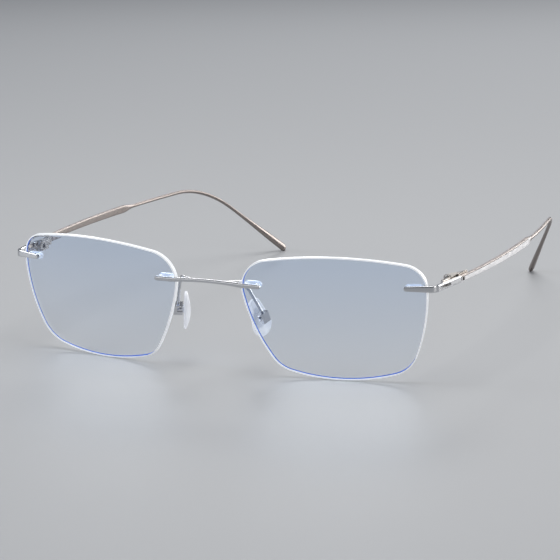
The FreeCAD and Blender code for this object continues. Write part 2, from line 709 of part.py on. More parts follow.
def makePad(core):
    """Teardrop of silicone moulded round the core, with a rounded face."""
    lowRadius = size("padLowRadius")
    topRadius = size("padTopRadius")
    lowY = -size("padDrop") - size("padLength") / 2 + lowRadius
    topY = -size("padDrop") + size("padLength") / 2 - topRadius
    tilt = math.asin((lowRadius - topRadius) / (topY - lowY))
    c, s = math.cos(tilt), math.sin(tilt)
    lowRight = (lowRadius * c, lowY + lowRadius * s)
    topRight = (topRadius * c, topY + topRadius * s)
    lowLeft = (-lowRight[0], lowRight[1])
    topLeft = (-topRight[0], topRight[1])
    outline = [line(lowRight, topRight), arcThrough(topRight, (0, topY + topRadius), topLeft),
               line(topLeft, lowLeft), arcThrough(lowLeft, (0, lowY - lowRadius), lowRight)]
    body = padBody("pad_blank", "XY_Plane", outline, "padThick", rise="padStandoff",
                   centred=False, place=padFrame)
    face = size("padStandoff") + size("padThick")
    roundBody(body, "padRound", lambda e: abs(e.BoundBox.ZMin - face) < 1e-4)
    return cut("nose_pad_left", body, core)


def makePadBox():
    """Two cheeks, a back and a top wall, open towards the pad and below."""
    inside = size("lugWidth") / 2 + size("lugClearance")
    half = size("boxLength") / 2
    shell = box("box_block", "lugWidth + lugClearance * 2 + cheekThick * 2", "boxLength",
                "boxRise + boxDrop", inFrame(padFrame, -boxHalf, -half, -size("boxDrop")))
    hollow = box("box_hollow", "lugWidth + lugClearance * 2", "boxLength",
                 "boxRise + boxDrop",
                 inFrame(padFrame, -inside, -half - size("boxWall"),
                         -size("boxDrop") + size("boxWall")))
    bore = acrossPad("box_bore", "padPinDiameter", "coreLength")
    return cut("pad_box_left", shell, group("box_tools", [hollow, bore]))


def makePadScrew():
    length = "lugWidth + lugClearance + lugClearance + cheekThick + cheekThick"
    frame = padFrame.multiply(at(0, 0, 0, Rotation(Vector(0, 1, 0), 90)))
    return makeScrew("pad_screw_left", frame, "padPinDiameter", length,
                     "padHeadDiameter", "padHeadHeight")


def makePadArm(bridge, padBox):
    """Wire from the back of the bridge, round the lens edge and down to the pad box."""
    edgeX = size("lensGap") / 2
    start = size("wireStart")
    rise = size("bridgeArch") * (1 - (start / (plan["nasal"].x - size("studPitch"))) ** 2)
    barMiddle = size("seatGap") + size("bridgeDepth") / 2
    root = bridgeFrame.multVec(Vector(start, rise, barMiddle))
    lensBack = plan["nasal"].y + size("nasalGlass")
    behind = lensBack + size("wireDiameter") + size("wireBehind")
    outer = Vector(edgeX - size("wireEdgeGap"), behind, root.z)
    fall = Vector(edgeX + size("wireEdgeGap"), behind + size("wireDiameter") * 2,
                  root.z - size("wireFall"))
    wall = size("boxLength") / 2 - size("boxWall") / 2
    foot = padFrame.multVec(Vector(0, wall, -size("wireBoxDepth")))
    wire = sweepRod("pad_wire", roundedPath([root, outer, fall, foot], size("wireBend")),
                    "wireDiameter")
    return cut("pad_arm_left", wire, group("wire_ends", [bridge, padBox]))


def mirrored(item, label):
    """The same piece on the wearer's right."""
    twin = doc.addObject("Part::Mirroring", label)
    twin.Source = item
    twin.Base = Vector(0, 0, 0)
    twin.Normal = Vector(1, 0, 0)
    return twin


bridgePiece = makeBridge()
padBoxPiece = makePadBox()
corePiece = makePadCore()
leftPieces = {
    "lens": makeLens(),
    "nasal_sleeve": makeSleeve("nasal_sleeve", nasalFrame, "nasalGlass"),
    "temporal_sleeve": makeSleeve("temporal_sleeve", endFrame, "endGlass"),
    "endpiece": makeEndpiece(),
    "hinge_tongue": makeTongue(),
    "hinge_fork": makeFork(),
    "hinge_screw": makeScrew("hinge_screw_left", Placement(pinSpot, Rotation()),
                             "pinDiameter", "hingeHeight", "headDiameter", "headHeight"),
    "hinge_washers": makeWashers(),
    "temple": makeTemple(),
    "pad_core": corePiece,
    "nose_pad": makePad(corePiece),
    "pad_box": padBoxPiece,
    "pad_screw": makePadScrew(),
    "pad_arm": makePadArm(bridgePiece, padBoxPiece),
}

built = {"bridge": bridgePiece}
for pieceName, piece in leftPieces.items():
    built[pieceName + "_left"] = piece
    built[pieceName + "_right"] = mirrored(piece, pieceName + "_mirrored")
doc.recompute()


def tipped(item, pitch):
    """Bounding box of a piece turned about the X axis."""
    shape = item.Shape.copy()
    shape.rotate(Vector(0, 0, 0), Vector(1, 0, 0), pitch)
    return shape.optimalBoundingBox(False)


def restPose():
    """Placement that stands the lenses and the temple tips on the floor, centred in depth."""
    def tipHeight(pitch):
        lensLow = tipped(leftPieces["lens"], pitch).ZMin
        return tipped(leftPieces["temple"], pitch).ZMin - lensLow

    low, high = -8.0, 8.0
    while high - low > 1e-6:
        middle = (low + high) / 2
        if tipHeight(middle) > 0:
            high = middle
        else:
            low = middle
    pitch = (low + high) / 2
    lift = -tipped(leftPieces["lens"], pitch).ZMin
    front = tipped(bridgePiece, pitch).YMin
    rear = tipped(leftPieces["temple"], pitch).YMax
    return Placement(Vector(0, -(front + rear) / 2, lift), Rotation(Vector(1, 0, 0), pitch))


pose = restPose()
nodes = {}
for nodeName, item in built.items():
    nodes[nodeName] = group("node_" + nodeName, [item])
    nodes[nodeName].Placement = pose
    nodes[nodeName].Label = nodeName
doc.recompute()

# ---- checks and export
for item in doc.Objects:
    if "Invalid" in item.State or "Error" in item.State:
        raise RuntimeError("%s did not build: %s" % (item.Label, item.State))
for nodeName, item in nodes.items():
    shape = item.Shape
    if shape.isNull() or not shape.isValid() or not shape.Solids:
        raise RuntimeError("%s has no valid solid" % nodeName)

os.makedirs("parts", exist_ok=True)
for nodeName, item in nodes.items():
    item.Shape.exportStep(os.path.join("parts", nodeName + ".step"))
    print("%-24s %2d solid(s) %8.2f mm3" % (nodeName, len(item.Shape.Solids), item.Shape.Volume))


def tell(label, vector):
    print("%-16s %9.4f %9.4f %9.4f" % (label, vector.x, vector.y, vector.z))


print("pitch %.4f degrees" % math.degrees(pose.Rotation.Angle), pose.Rotation.Axis)
tell("pose shift", pose.Base)
tell("hinge pin", pose.multVec(pinSpot))
tell("hinge axis", pose.Rotation.multVec(Vector(0, 0, 1)))
tell("pad screw", pose.multVec(padFrame.Base))
tell("pad screw axis", pose.Rotation.multVec(padTurn.multVec(Vector(1, 0, 0))))
tell("nasal mount", pose.multVec(plan["nasal"]))
tell("end mount", pose.multVec(plan["end"]))
tell("endpiece end", pose.multVec(plan["armEnd"]))
tell("lens centre", pose.multVec(lensPlace.Base))
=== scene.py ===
import math
from functools import partial

import bmesh
import bpy
from mathutils import Matrix, Vector


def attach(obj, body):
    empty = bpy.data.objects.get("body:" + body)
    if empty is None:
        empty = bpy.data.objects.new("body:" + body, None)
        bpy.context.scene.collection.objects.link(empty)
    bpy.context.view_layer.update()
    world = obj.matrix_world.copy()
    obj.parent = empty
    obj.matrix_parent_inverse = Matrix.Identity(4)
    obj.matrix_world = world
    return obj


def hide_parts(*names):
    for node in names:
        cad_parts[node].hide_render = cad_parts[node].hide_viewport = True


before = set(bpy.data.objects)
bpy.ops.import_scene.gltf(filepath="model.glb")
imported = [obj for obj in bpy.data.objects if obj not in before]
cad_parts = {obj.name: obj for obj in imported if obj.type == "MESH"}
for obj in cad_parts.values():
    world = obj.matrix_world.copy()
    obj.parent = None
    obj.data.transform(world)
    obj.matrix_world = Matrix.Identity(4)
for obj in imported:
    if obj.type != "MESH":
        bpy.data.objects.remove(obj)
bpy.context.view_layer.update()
print("frame loaded,", len(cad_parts), "nodes")

# Sizes are millimetres in the level frame that the glasses are drawn in: X to the wearer's
# left, Y from the lenses to the temple tips, Z up. The pose stands them on the floor.
pose = {"pitch": -0.9923, "shift": (0.0, -75.6508, 18.1932)}
levelToFrame = (Matrix.Scale(0.001, 4) @ Matrix.Translation(pose["shift"])
                @ Matrix.Rotation(math.radians(pose["pitch"]), 4, "X"))

# camera
cameraPlace = {"target": (0.02089, -0.075465, 0.028632), "azimuth": 23.328, "elevation": 13.131,
               "roll": -0.522, "distance": 0.7692, "lens": 178.13,
               "sensor": 36, "clipStart": 0.01}


def placeCamera(place):
    azimuth, elevation = math.radians(place["azimuth"]), math.radians(place["elevation"])
    back = Vector((math.sin(azimuth) * math.cos(elevation),
                   -math.cos(azimuth) * math.cos(elevation), math.sin(elevation)))
    level = Vector((math.cos(azimuth), math.sin(azimuth), 0))
    rise = back.cross(level)
    roll = math.radians(place["roll"])
    right = level * math.cos(roll) + rise * math.sin(roll)
    turn = Matrix((right, back.cross(right), back)).transposed().to_4x4()
    data = bpy.data.cameras.new("viewCamera")
    data.sensor_width = place["sensor"]
    data.lens = place["lens"]
    data.clip_start = place["clipStart"]
    camera = bpy.data.objects.new("viewCamera", data)
    bpy.context.scene.collection.objects.link(camera)
    camera.matrix_world = (Matrix.Translation(Vector(place["target"]) + back * place["distance"])
                           @ turn)
    bpy.context.scene.camera = camera


placeCamera(cameraPlace)

# floor and lights
studio = {"floorReach": 4.0, "floorTone": (0.43, 0.44, 0.455), "floorRoughness": 0.5,
          "worldTone": (0.80, 0.87, 1.0), "worldStrength": 0.16}
lamps = [  # name, place, aim, width and height in metres, watts, tint
    ("overheadSoftbox", (0.05, -0.02, 0.75), (0.0, -0.02, 0.0), (0.60, 0.50), 3.3,
     (1.0, 0.985, 0.96)),
    ("leftSoftbox", (-0.75, -0.35, 0.40), (0.0, -0.05, 0.02), (0.35, 0.50), 2.4,
     (0.93, 0.96, 1.0)),
    ("rightSoftbox", (0.75, -0.20, 0.22), (0.05, -0.06, 0.02), (0.35, 0.35), 1.3,
     (1.0, 0.97, 0.94)),
    ("rearRightSoftbox", (0.46, 0.85, 0.20), (0.06, -0.02, 0.025), (0.60, 0.38), 4.0,
     (1.0, 0.98, 0.96)),
    ("frontSoftbox", (-0.38, -0.88, 0.42), (0.0, -0.07, 0.02), (0.45, 0.55), 0.9,
     (1.0, 1.0, 1.0)),
    ("rearStrip", (-0.25, 0.70, 0.40), (0.0, 0.0, 0.02), (0.70, 0.14), 1.6,
     (1.0, 1.0, 1.0)),
]


def addNode(tree, kind, links=None, **settings):
    node = tree.nodes.new(kind)
    for key, value in settings.items():
        setattr(node, key, value)
    for socket, source in (links or {}).items():
        if isinstance(source, bpy.types.NodeSocket):
            tree.links.new(source, node.inputs[socket])
        else:
            node.inputs[socket].default_value = source
    return node


def makeMaterial(name, **values):
    material = bpy.data.materials.new(name)
    material.use_nodes = True
    shader = material.node_tree.nodes["Principled BSDF"]
    for socket, value in values.items():
        shader.inputs[socket].default_value = value
    return material, material.node_tree, shader


def makeStudio():
    mesh = bpy.data.meshes.new("floor")
    reach = studio["floorReach"]
    mesh.from_pydata([(-reach, -reach, 0), (reach, -reach, 0), (reach, reach, 0),
                      (-reach, reach, 0)], [], [(0, 1, 2, 3)])
    floor = bpy.data.objects.new("floor", mesh)
    bpy.context.scene.collection.objects.link(floor)
    mesh.materials.append(makeMaterial("floorPaint", **{
        "Base Color": (*studio["floorTone"], 1), "Roughness": studio["floorRoughness"]})[0])
    world = bpy.data.worlds.new("studio")
    world.use_nodes = True
    background = world.node_tree.nodes["Background"]
    background.inputs["Color"].default_value = (*studio["worldTone"], 1)
    background.inputs["Strength"].default_value = studio["worldStrength"]
    bpy.context.scene.world = world
    bpy.context.scene.view_settings.view_transform = "Standard"
    for name, place, aim, extent, watts, tint in lamps:
        data = bpy.data.lights.new(name, "AREA")
        data.shape = "RECTANGLE"
        data.size, data.size_y = extent
        data.energy = watts
        data.color = tint
        lamp = bpy.data.objects.new(name, data)
        bpy.context.scene.collection.objects.link(lamp)
        away = Vector(place) - Vector(aim)
        lamp.matrix_world = (Matrix.Translation(place)
                             @ away.to_track_quat("Z", "Y").to_matrix().to_4x4())


makeStudio()
print("camera, floor and lights ready")

# plan of one side
lensSizes = {
    "width": 53.0, "height": 37.1, "gap": 20.3, "thick": 1.15, "wrap": 8.03, "lean": 9.71,
    "frontRadius": 127.0, "backRadius": 109.8, "optic": (-2.13, 4.29),
    "corners": (  # inset from the box in X and Y, radius, and the radius of the side after it
        (1, 1, 7.6, 9.15, 7.45, 98.9), (-1, 1, 8.8, 10.9, 8.85, 56.5),
        (-1, -1, 15.35, 9.95, 8.5, 59.2), (1, -1, 12.8, 11.3, 9.75, 54.5)),
    "bevel": (0.34, 0.12), "rearBevel": (0.36, 0.30), "coatedBevel": (0.30, 0.05), "drill": 1.4,
    "drillReach": 6, "nasalMount": (3.1, 9.95), "endMount": (3.65, 8.45),
}
bridgeSizes = {"seatGap": 0.15, "depth": 1.1, "endHeight": 1.3, "midHeight": 1.0, "arch": 0.45,
               "overhang": 1.35, "studPitch": 3.2, "edge": 0.3, "squareness": 0.72}
armSizes = {"thick": 1.0, "tipHeight": 1.4, "height": 1.9, "front": 5.75, "rear": 15.4,
            "bend": 2.2, "heading": 6.4, "edge": 0.22, "squareness": 0.36,
            "slotStart": 2.2, "slotLength": 6.5, "slotHeight": 0.85, "slotReach": 1.5,
            "jointGap": 0.15}


def level(angle):
    # level direction, measured from X towards Y
    return Vector((math.cos(math.radians(angle)), math.sin(math.radians(angle)), 0))


def turned(angle, axis):
    return Matrix.Rotation(math.radians(angle), 4, axis)


lensOut = level(lensSizes["wrap"])
lensUp = Vector((0, -math.sin(math.radians(lensSizes["lean"])),
                 math.cos(math.radians(lensSizes["lean"]))))
lensUp = (lensUp - lensOut * lensUp.dot(lensOut)).normalized()
lensTurn = Matrix((lensOut, lensUp, lensOut.cross(lensUp))).transposed()
opticX, opticY = lensSizes["optic"]
lensFrame = Matrix.Translation((
    lensSizes["gap"] / 2 + lensSizes["width"] / 2 * lensOut.x,
    -(lensTurn @ Vector((opticX, opticY, 0))).y, 0)) @ lensTurn.to_4x4()


def frontZ(x, y):
    radius = lensSizes["frontRadius"]
    off = (x - opticX) ** 2 + (y - opticY) ** 2
    return math.sqrt(radius ** 2 - off) - radius + lensSizes["thick"] / 2


def backZ(x, y):
    radius = lensSizes["backRadius"]
    off = (x - opticX) ** 2 + (y - opticY) ** 2
    return math.sqrt(radius ** 2 - off) - radius - lensSizes["thick"] / 2


def mountSpot(side, inset, drop):
    x = side * (lensSizes["width"] / 2 - inset)
    y = lensSizes["height"] / 2 - drop
    return x, y, frontZ(x, y), frontZ(x, y) - backZ(x, y)


nasalX, nasalY, nasalZ, nasalGlass = mountSpot(-1, *lensSizes["nasalMount"])
endX, endY, endZ, endGlass = mountSpot(1, *lensSizes["endMount"])
nasalPoint = lensFrame @ Vector((nasalX, nasalY, nasalZ))
endPoint = lensFrame @ Vector((endX, endY, endZ))
bridgeTurn = 90 + lensSizes["lean"] - math.degrees((nasalY - opticY) / lensSizes["frontRadius"])
armTurn = lensSizes["wrap"] + math.degrees((endX - opticX) / lensSizes["frontRadius"])
nasalFrame = Matrix.Translation(nasalPoint) @ turned(bridgeTurn, "X")
bridgeFrame = Matrix.Translation((0, nasalPoint.y, nasalPoint.z)) @ turned(bridgeTurn, "X")
endFrame = Matrix.Translation(endPoint) @ turned(armTurn, "Z") @ turned(90, "X")

frontAlong = level(armTurn)
rearAlong = level(90 - armSizes["heading"])
barLine = endPoint + level(armTurn - 90) * (bridgeSizes["seatGap"] + armSizes["thick"] / 2)
barReach = bridgeSizes["studPitch"] / 2 + bridgeSizes["overhang"]
armTip = barLine - frontAlong * barReach
armCorner = barLine + frontAlong * armSizes["front"]
armEnd = armCorner + rearAlong * armSizes["rear"]

# shared node groups: effects that several materials use


def newTree(name, kind, inputs, outputs):
    # an empty tree with named sockets, and the ends of its input and output nodes
    tree = bpy.data.node_groups.new(name, kind)
    for label, socketKind, value in inputs:
        socket = tree.interface.new_socket(label, in_out="INPUT", socket_type=socketKind)
        if value is not None:
            socket.default_value = value
    for label, socketKind in outputs:
        tree.interface.new_socket(label, in_out="OUTPUT", socket_type=socketKind)
    return (tree, tree.nodes.new("NodeGroupInput").outputs,
            tree.nodes.new("NodeGroupOutput").inputs)


def makeGroup(name, inputs, outputs):
    tree, given, out = newTree(
        name, "ShaderNodeTree", [(label, "NodeSocketFloat", value) for label, value in inputs],
        [(label, "NodeSocketFloat") for label in outputs])
    return tree, given, out, tree.nodes.new("ShaderNodeTexCoord").outputs["Object"]


def makeHandlingMarks():
    # broad smears and small specks left by fingers and cloths
    tree, given, out, coords = makeGroup(
        "handlingMarks", [("Smear Scale", 120.0), ("Speck Scale", 2500.0)],
        ["Smear", "Specks"])
    smear = addNode(tree, "ShaderNodeTexNoise",
                    {"Vector": coords, "Scale": given["Smear Scale"], "Detail": 4.0,
                     "Roughness": 0.6, "Distortion": 0.8})
    speck = addNode(tree, "ShaderNodeTexNoise",
                    {"Vector": coords, "Scale": given["Speck Scale"], "Detail": 2.0})
    soft = addNode(tree, "ShaderNodeMapRange", {"Value": smear.outputs["Fac"], "From Min": 0.35,
                                                "From Max": 0.70})
    sharp = addNode(tree, "ShaderNodeMapRange", {"Value": speck.outputs["Fac"], "From Min": 0.62,
                                                 "From Max": 0.74})
    tree.links.new(soft.outputs["Result"], out["Smear"])
    tree.links.new(sharp.outputs["Result"], out["Specks"])
    return tree


def makeFineGrain():
    # polishing or brushing lines that run along Y, and a fine grit between them
    tree, given, out, coords = makeGroup(
        "fineGrain", [("Line Scale", 9000.0), ("Line Stretch", 0.02), ("Grit Scale", 14000.0)],
        ["Lines", "Grit"])
    stretch = addNode(tree, "ShaderNodeCombineXYZ", {"X": 1.0, "Y": given["Line Stretch"],
                                                     "Z": 1.0})
    along = addNode(tree, "ShaderNodeVectorMath", {0: coords, 1: stretch.outputs["Vector"]},
                    operation="MULTIPLY")
    lines = addNode(tree, "ShaderNodeTexNoise",
                    {"Vector": along.outputs["Vector"], "Scale": given["Line Scale"],
                     "Detail": 3.0})
    grit = addNode(tree, "ShaderNodeTexNoise",
                   {"Vector": coords, "Scale": given["Grit Scale"], "Detail": 2.0})
    tree.links.new(lines.outputs["Fac"], out["Lines"])
    tree.links.new(grit.outputs["Fac"], out["Grit"])
    return tree


handlingMarks = makeHandlingMarks()
fineGrain = makeFineGrain()

# finishes


def placeGroup(tree, group, **values):
    node = tree.nodes.new("ShaderNodeGroup")
    node.node_tree = group
    for socket, value in values.items():
        node.inputs[socket.replace("_", " ")].default_value = value
    return node


def mixTone(tree, factor, first, second):
    mix = addNode(tree, "ShaderNodeMix", {"Factor": factor}, data_type="RGBA")
    for socket, tone in ((6, first), (7, second)):
        if isinstance(tone, bpy.types.NodeSocket):
            tree.links.new(tone, mix.inputs[socket])
        else:
            mix.inputs[socket].default_value = (*tone, 1)
    return mix.outputs[2]


def ranged(tree, value, low, high):
    return addNode(tree, "ShaderNodeMapRange",
                   {"Value": value, "To Min": low, "To Max": high}).outputs["Result"]


fineBump = 0.00002  # metres


def bumped(tree, shader, height, strength, distance=fineBump):
    bump = addNode(tree, "ShaderNodeBump", {"Height": height, "Strength": strength,
                                            "Distance": distance})
    tree.links.new(bump.outputs["Normal"], shader.inputs["Normal"])


metalFinishes = {  # two tones, roughness range, bump strength, line stretch
    "polishedMetal": ((0.76, 0.76, 0.77), (0.60, 0.61, 0.63), (0.09, 0.20), 0.05, 0.02),
    "padSilver": ((0.90, 0.90, 0.92), (0.58, 0.59, 0.62), (0.10, 0.24), 0.10, 1.0),
    "hingeMetal": ((0.55, 0.51, 0.46), (0.33, 0.305, 0.285), (0.18, 0.34), 0.12, 0.2),
    "screwSteel": ((0.62, 0.59, 0.55), (0.36, 0.35, 0.34), (0.14, 0.32), 0.12, 1.0),
}


def makeMetal(name):
    light, dark, (smooth, rough), strength, stretch = metalFinishes[name]
    material, tree, shader = makeMaterial(name, **{"Metallic": 1.0})
    marks = placeGroup(tree, handlingMarks, Smear_Scale=160.0)
    grain = placeGroup(tree, fineGrain, Line_Stretch=stretch)
    tone = mixTone(tree, grain.outputs["Lines"], dark, light)
    worn = mixTone(tree, marks.outputs["Specks"], tone, dark)
    tree.links.new(worn, shader.inputs["Base Color"])
    tree.links.new(ranged(tree, marks.outputs["Smear"], smooth, rough),
                   shader.inputs["Roughness"])
    bumped(tree, shader, grain.outputs["Lines"], strength)
    return material


# the groove tone is near-black painted shade for the faces inside the groove
templeFinish = {"outerLight": (0.99, 0.98, 0.98), "outerDark": (0.90, 0.89, 0.90),
                "innerLight": (0.37, 0.325, 0.305), "innerDark": (0.24, 0.213, 0.20),
                "paintedGrooveShade": (0.03, 0.03, 0.035), "outerRoughness": 0.34,
                "innerRoughness": 0.36, "spread": 0.10, "smearScale": 140.0,
                "lineStretch": 0.015, "bump": 0.12}


def makeTempleMetal(look):
    # polished on the outer face of the blade, satin elsewhere, with painted shade in the groove
    material, tree, shader = makeMaterial("templeMetal", **{"Metallic": 1.0})
    marks = placeGroup(tree, handlingMarks, Smear_Scale=look["smearScale"])
    grain = placeGroup(tree, fineGrain, Line_Stretch=look["lineStretch"])
    polish = addNode(tree, "ShaderNodeAttribute", attribute_name="polish").outputs["Fac"]
    groove = addNode(tree, "ShaderNodeAttribute", attribute_name="groove").outputs["Fac"]
    outer = mixTone(tree, grain.outputs["Lines"], look["outerDark"], look["outerLight"])
    inner = mixTone(tree, grain.outputs["Lines"], look["innerDark"], look["innerLight"])
    # the groove mask lays painted shade over the groove faces
    tone = mixTone(tree, groove, mixTone(tree, polish, inner, outer), look["paintedGrooveShade"])
    tree.links.new(tone, shader.inputs["Base Color"])
    smooth = ranged(tree, polish, look["innerRoughness"], look["outerRoughness"])
    spread = ranged(tree, marks.outputs["Smear"], -look["spread"] / 2, look["spread"] / 2)
    rough = addNode(tree, "ShaderNodeMath", {0: smooth, 1: spread}, operation="ADD",
                    use_clamp=True)
    tree.links.new(rough.outputs["Value"], shader.inputs["Roughness"])
    bumped(tree, shader, grain.outputs["Lines"], look["bump"])
    return material


# the high tone is a painted blue coating reflection, laid on more strongly towards the top of the
# lens
lensFinish = {"lowTone": (0.93, 0.96, 1.0), "paintedTopBlue": (0.77, 0.86, 1.0),
              "reflection": (0.14, 0.22, 0.48, 1), "index": 1.56, "gloss": 0.4,
              "lampPass": (0.93, 0.96, 1.0, 1), "paintedBlueSpan": (0.004, 0.034),
              "smearRoughness": 0.025}


def letLampsThrough(tree, shader, tone):
    # lamplight passes straight on, direct or off matt surfaces, so the shadow is light
    path = addNode(tree, "ShaderNodeLightPath")
    clear = addNode(tree, "ShaderNodeBsdfTransparent", {"Color": tone})
    surface = shader.outputs["BSDF"]
    for kind in ("Is Shadow Ray", "Is Diffuse Ray"):
        mix = addNode(tree, "ShaderNodeMixShader", {0: path.outputs[kind], 1: surface,
                                                    2: clear.outputs["BSDF"]})
        surface = mix.outputs["Shader"]
    tree.links.new(surface, tree.nodes["Material Output"].inputs["Surface"])


def makeLensGlass(look):
    material, tree, shader = makeMaterial("lensGlass", **{
        "Transmission Weight": 1.0, "IOR": look["index"], "Specular Tint": look["reflection"],
        "Specular IOR Level": look["gloss"]})
    marks = placeGroup(tree, handlingMarks, Smear_Scale=45.0, Speck_Scale=1800.0)
    # the base colour turns bluer with height: a painted blue reflection of the coating
    place = addNode(tree, "ShaderNodeSeparateXYZ",
                    {"Vector": addNode(tree, "ShaderNodeTexCoord").outputs["Object"]})
    low, high = look["paintedBlueSpan"]
    rise = addNode(tree, "ShaderNodeMapRange",
                   {"Value": place.outputs["Z"], "From Min": low, "From Max": high})
    tree.links.new(mixTone(tree, rise.outputs["Result"], look["lowTone"], look["paintedTopBlue"]),
                   shader.inputs["Base Color"])
    tree.links.new(ranged(tree, marks.outputs["Smear"], 0.0, look["smearRoughness"]),
                   shader.inputs["Roughness"])
    letLampsThrough(tree, shader, look["lampPass"])
    return material


edgeFinishes = {  # the ground rim is milky with a painted glow, and the rear bevel is painted with the coating's blue reflection and a faint painted glow
    "lensEdge": {"faceTone": (0.99, 0.995, 1.0), "lineTone": (0.90, 0.945, 1.0), "paintedGlow": 0.28},
    "rearBevelPaintedBlue": {"faceTone": (0.04, 0.17, 0.72), "lineTone": (0.02, 0.09, 0.50),
                     "paintedGlow": 0.10},
}


def makeLensEdge(name, look):
    # the emission is a painted glow: the rim shines as painted light, though it is no lamp
    material, tree, shader = makeMaterial(name, **{
        "Specular IOR Level": 0.7, "Coat Weight": 0.6, "Coat Roughness": 0.12,
        "Emission Strength": look["paintedGlow"]})
    grain = placeGroup(tree, fineGrain, Line_Scale=5000.0, Line_Stretch=1.0)
    tone = mixTone(tree, grain.outputs["Lines"], look["lineTone"], look["faceTone"])
    tree.links.new(tone, shader.inputs["Base Color"])
    # the same tone feeds the emission, so the glow is painted light in the rim's colour
    tree.links.new(tone, shader.inputs["Emission Color"])
    tree.links.new(ranged(tree, grain.outputs["Grit"], 0.22, 0.45), shader.inputs["Roughness"])
    bumped(tree, shader, grain.outputs["Grit"], 0.15)
    return material


clearFinishes = {  # two tones, roughness range, transmission, index, painted glow (emission that makes the plastic look whiter)
    "sleevePlastic": ((0.95, 0.97, 1.0), (0.82, 0.88, 0.97), (0.08, 0.20), 0.16, 1.46, 0.20),
    "padSilicone": ((0.95, 0.96, 0.98), (0.84, 0.86, 0.91), (0.14, 0.26), 0.20, 1.41, 0.18),
    "corePlastic": ((0.86, 0.88, 0.92), (0.72, 0.75, 0.80), (0.30, 0.45), 0.25, 1.50, 0.08),
    "washerPlastic": ((0.86, 0.85, 0.81), (0.72, 0.71, 0.68), (0.35, 0.50), 0.20, 1.53, 0.0),
}


def makeClear(name):
    light, dark, (smooth, rough), clear, index, paintedGlow = clearFinishes[name]
    # the emission strength is painted light: a glow that whitens the part, though it is no lamp
    material, tree, shader = makeMaterial(name, **{
        "Transmission Weight": clear, "IOR": index, "Emission Strength": paintedGlow})
    marks = placeGroup(tree, handlingMarks, Smear_Scale=300.0, Speck_Scale=4000.0)
    grain = placeGroup(tree, fineGrain, Line_Stretch=1.0)
    tone = mixTone(tree, marks.outputs["Smear"], light, dark)
    tree.links.new(tone, shader.inputs["Base Color"])
    # the smear tone also colours the painted glow
    tree.links.new(tone, shader.inputs["Emission Color"])
    tree.links.new(ranged(tree, marks.outputs["Smear"], smooth, rough),
                   shader.inputs["Roughness"])
    bumped(tree, shader, grain.outputs["Grit"], 0.12, 0.00003)
    return material


metals = {name: makeMetal(name) for name in metalFinishes}
clears = {name: makeClear(name) for name in clearFinishes}
templeMetal = makeTempleMetal(templeFinish)
lensGlass = makeLensGlass(lensFinish)
lensEdges = [makeLensEdge(name, look) for name, look in edgeFinishes.items()]
print("finishes ready")

weldReach = 2e-7  # metres, below any real gap between points

# bars: one tree sweeps a rounded section along a path of stations


def liveSocket(sockets, name):
    return next(s for s in sockets if s.name == name and s.enabled)


def mathNode(tree, operation, a, b=0.0):
    return addNode(tree, "ShaderNodeMath", {0: a, 1: b}, operation=operation).outputs["Value"]


def finishTree(tree, shape, given, out):
    # plain geometry in the given finish, as the tree's result
    real = addNode(tree, "GeometryNodeRealizeInstances", {"Geometry": shape})
    done = addNode(tree, "GeometryNodeSetMaterial", {"Geometry": real.outputs[0],
                                                     "Material": given["Finish"]})
    tree.links.new(done.outputs[0], out[0])
    return tree


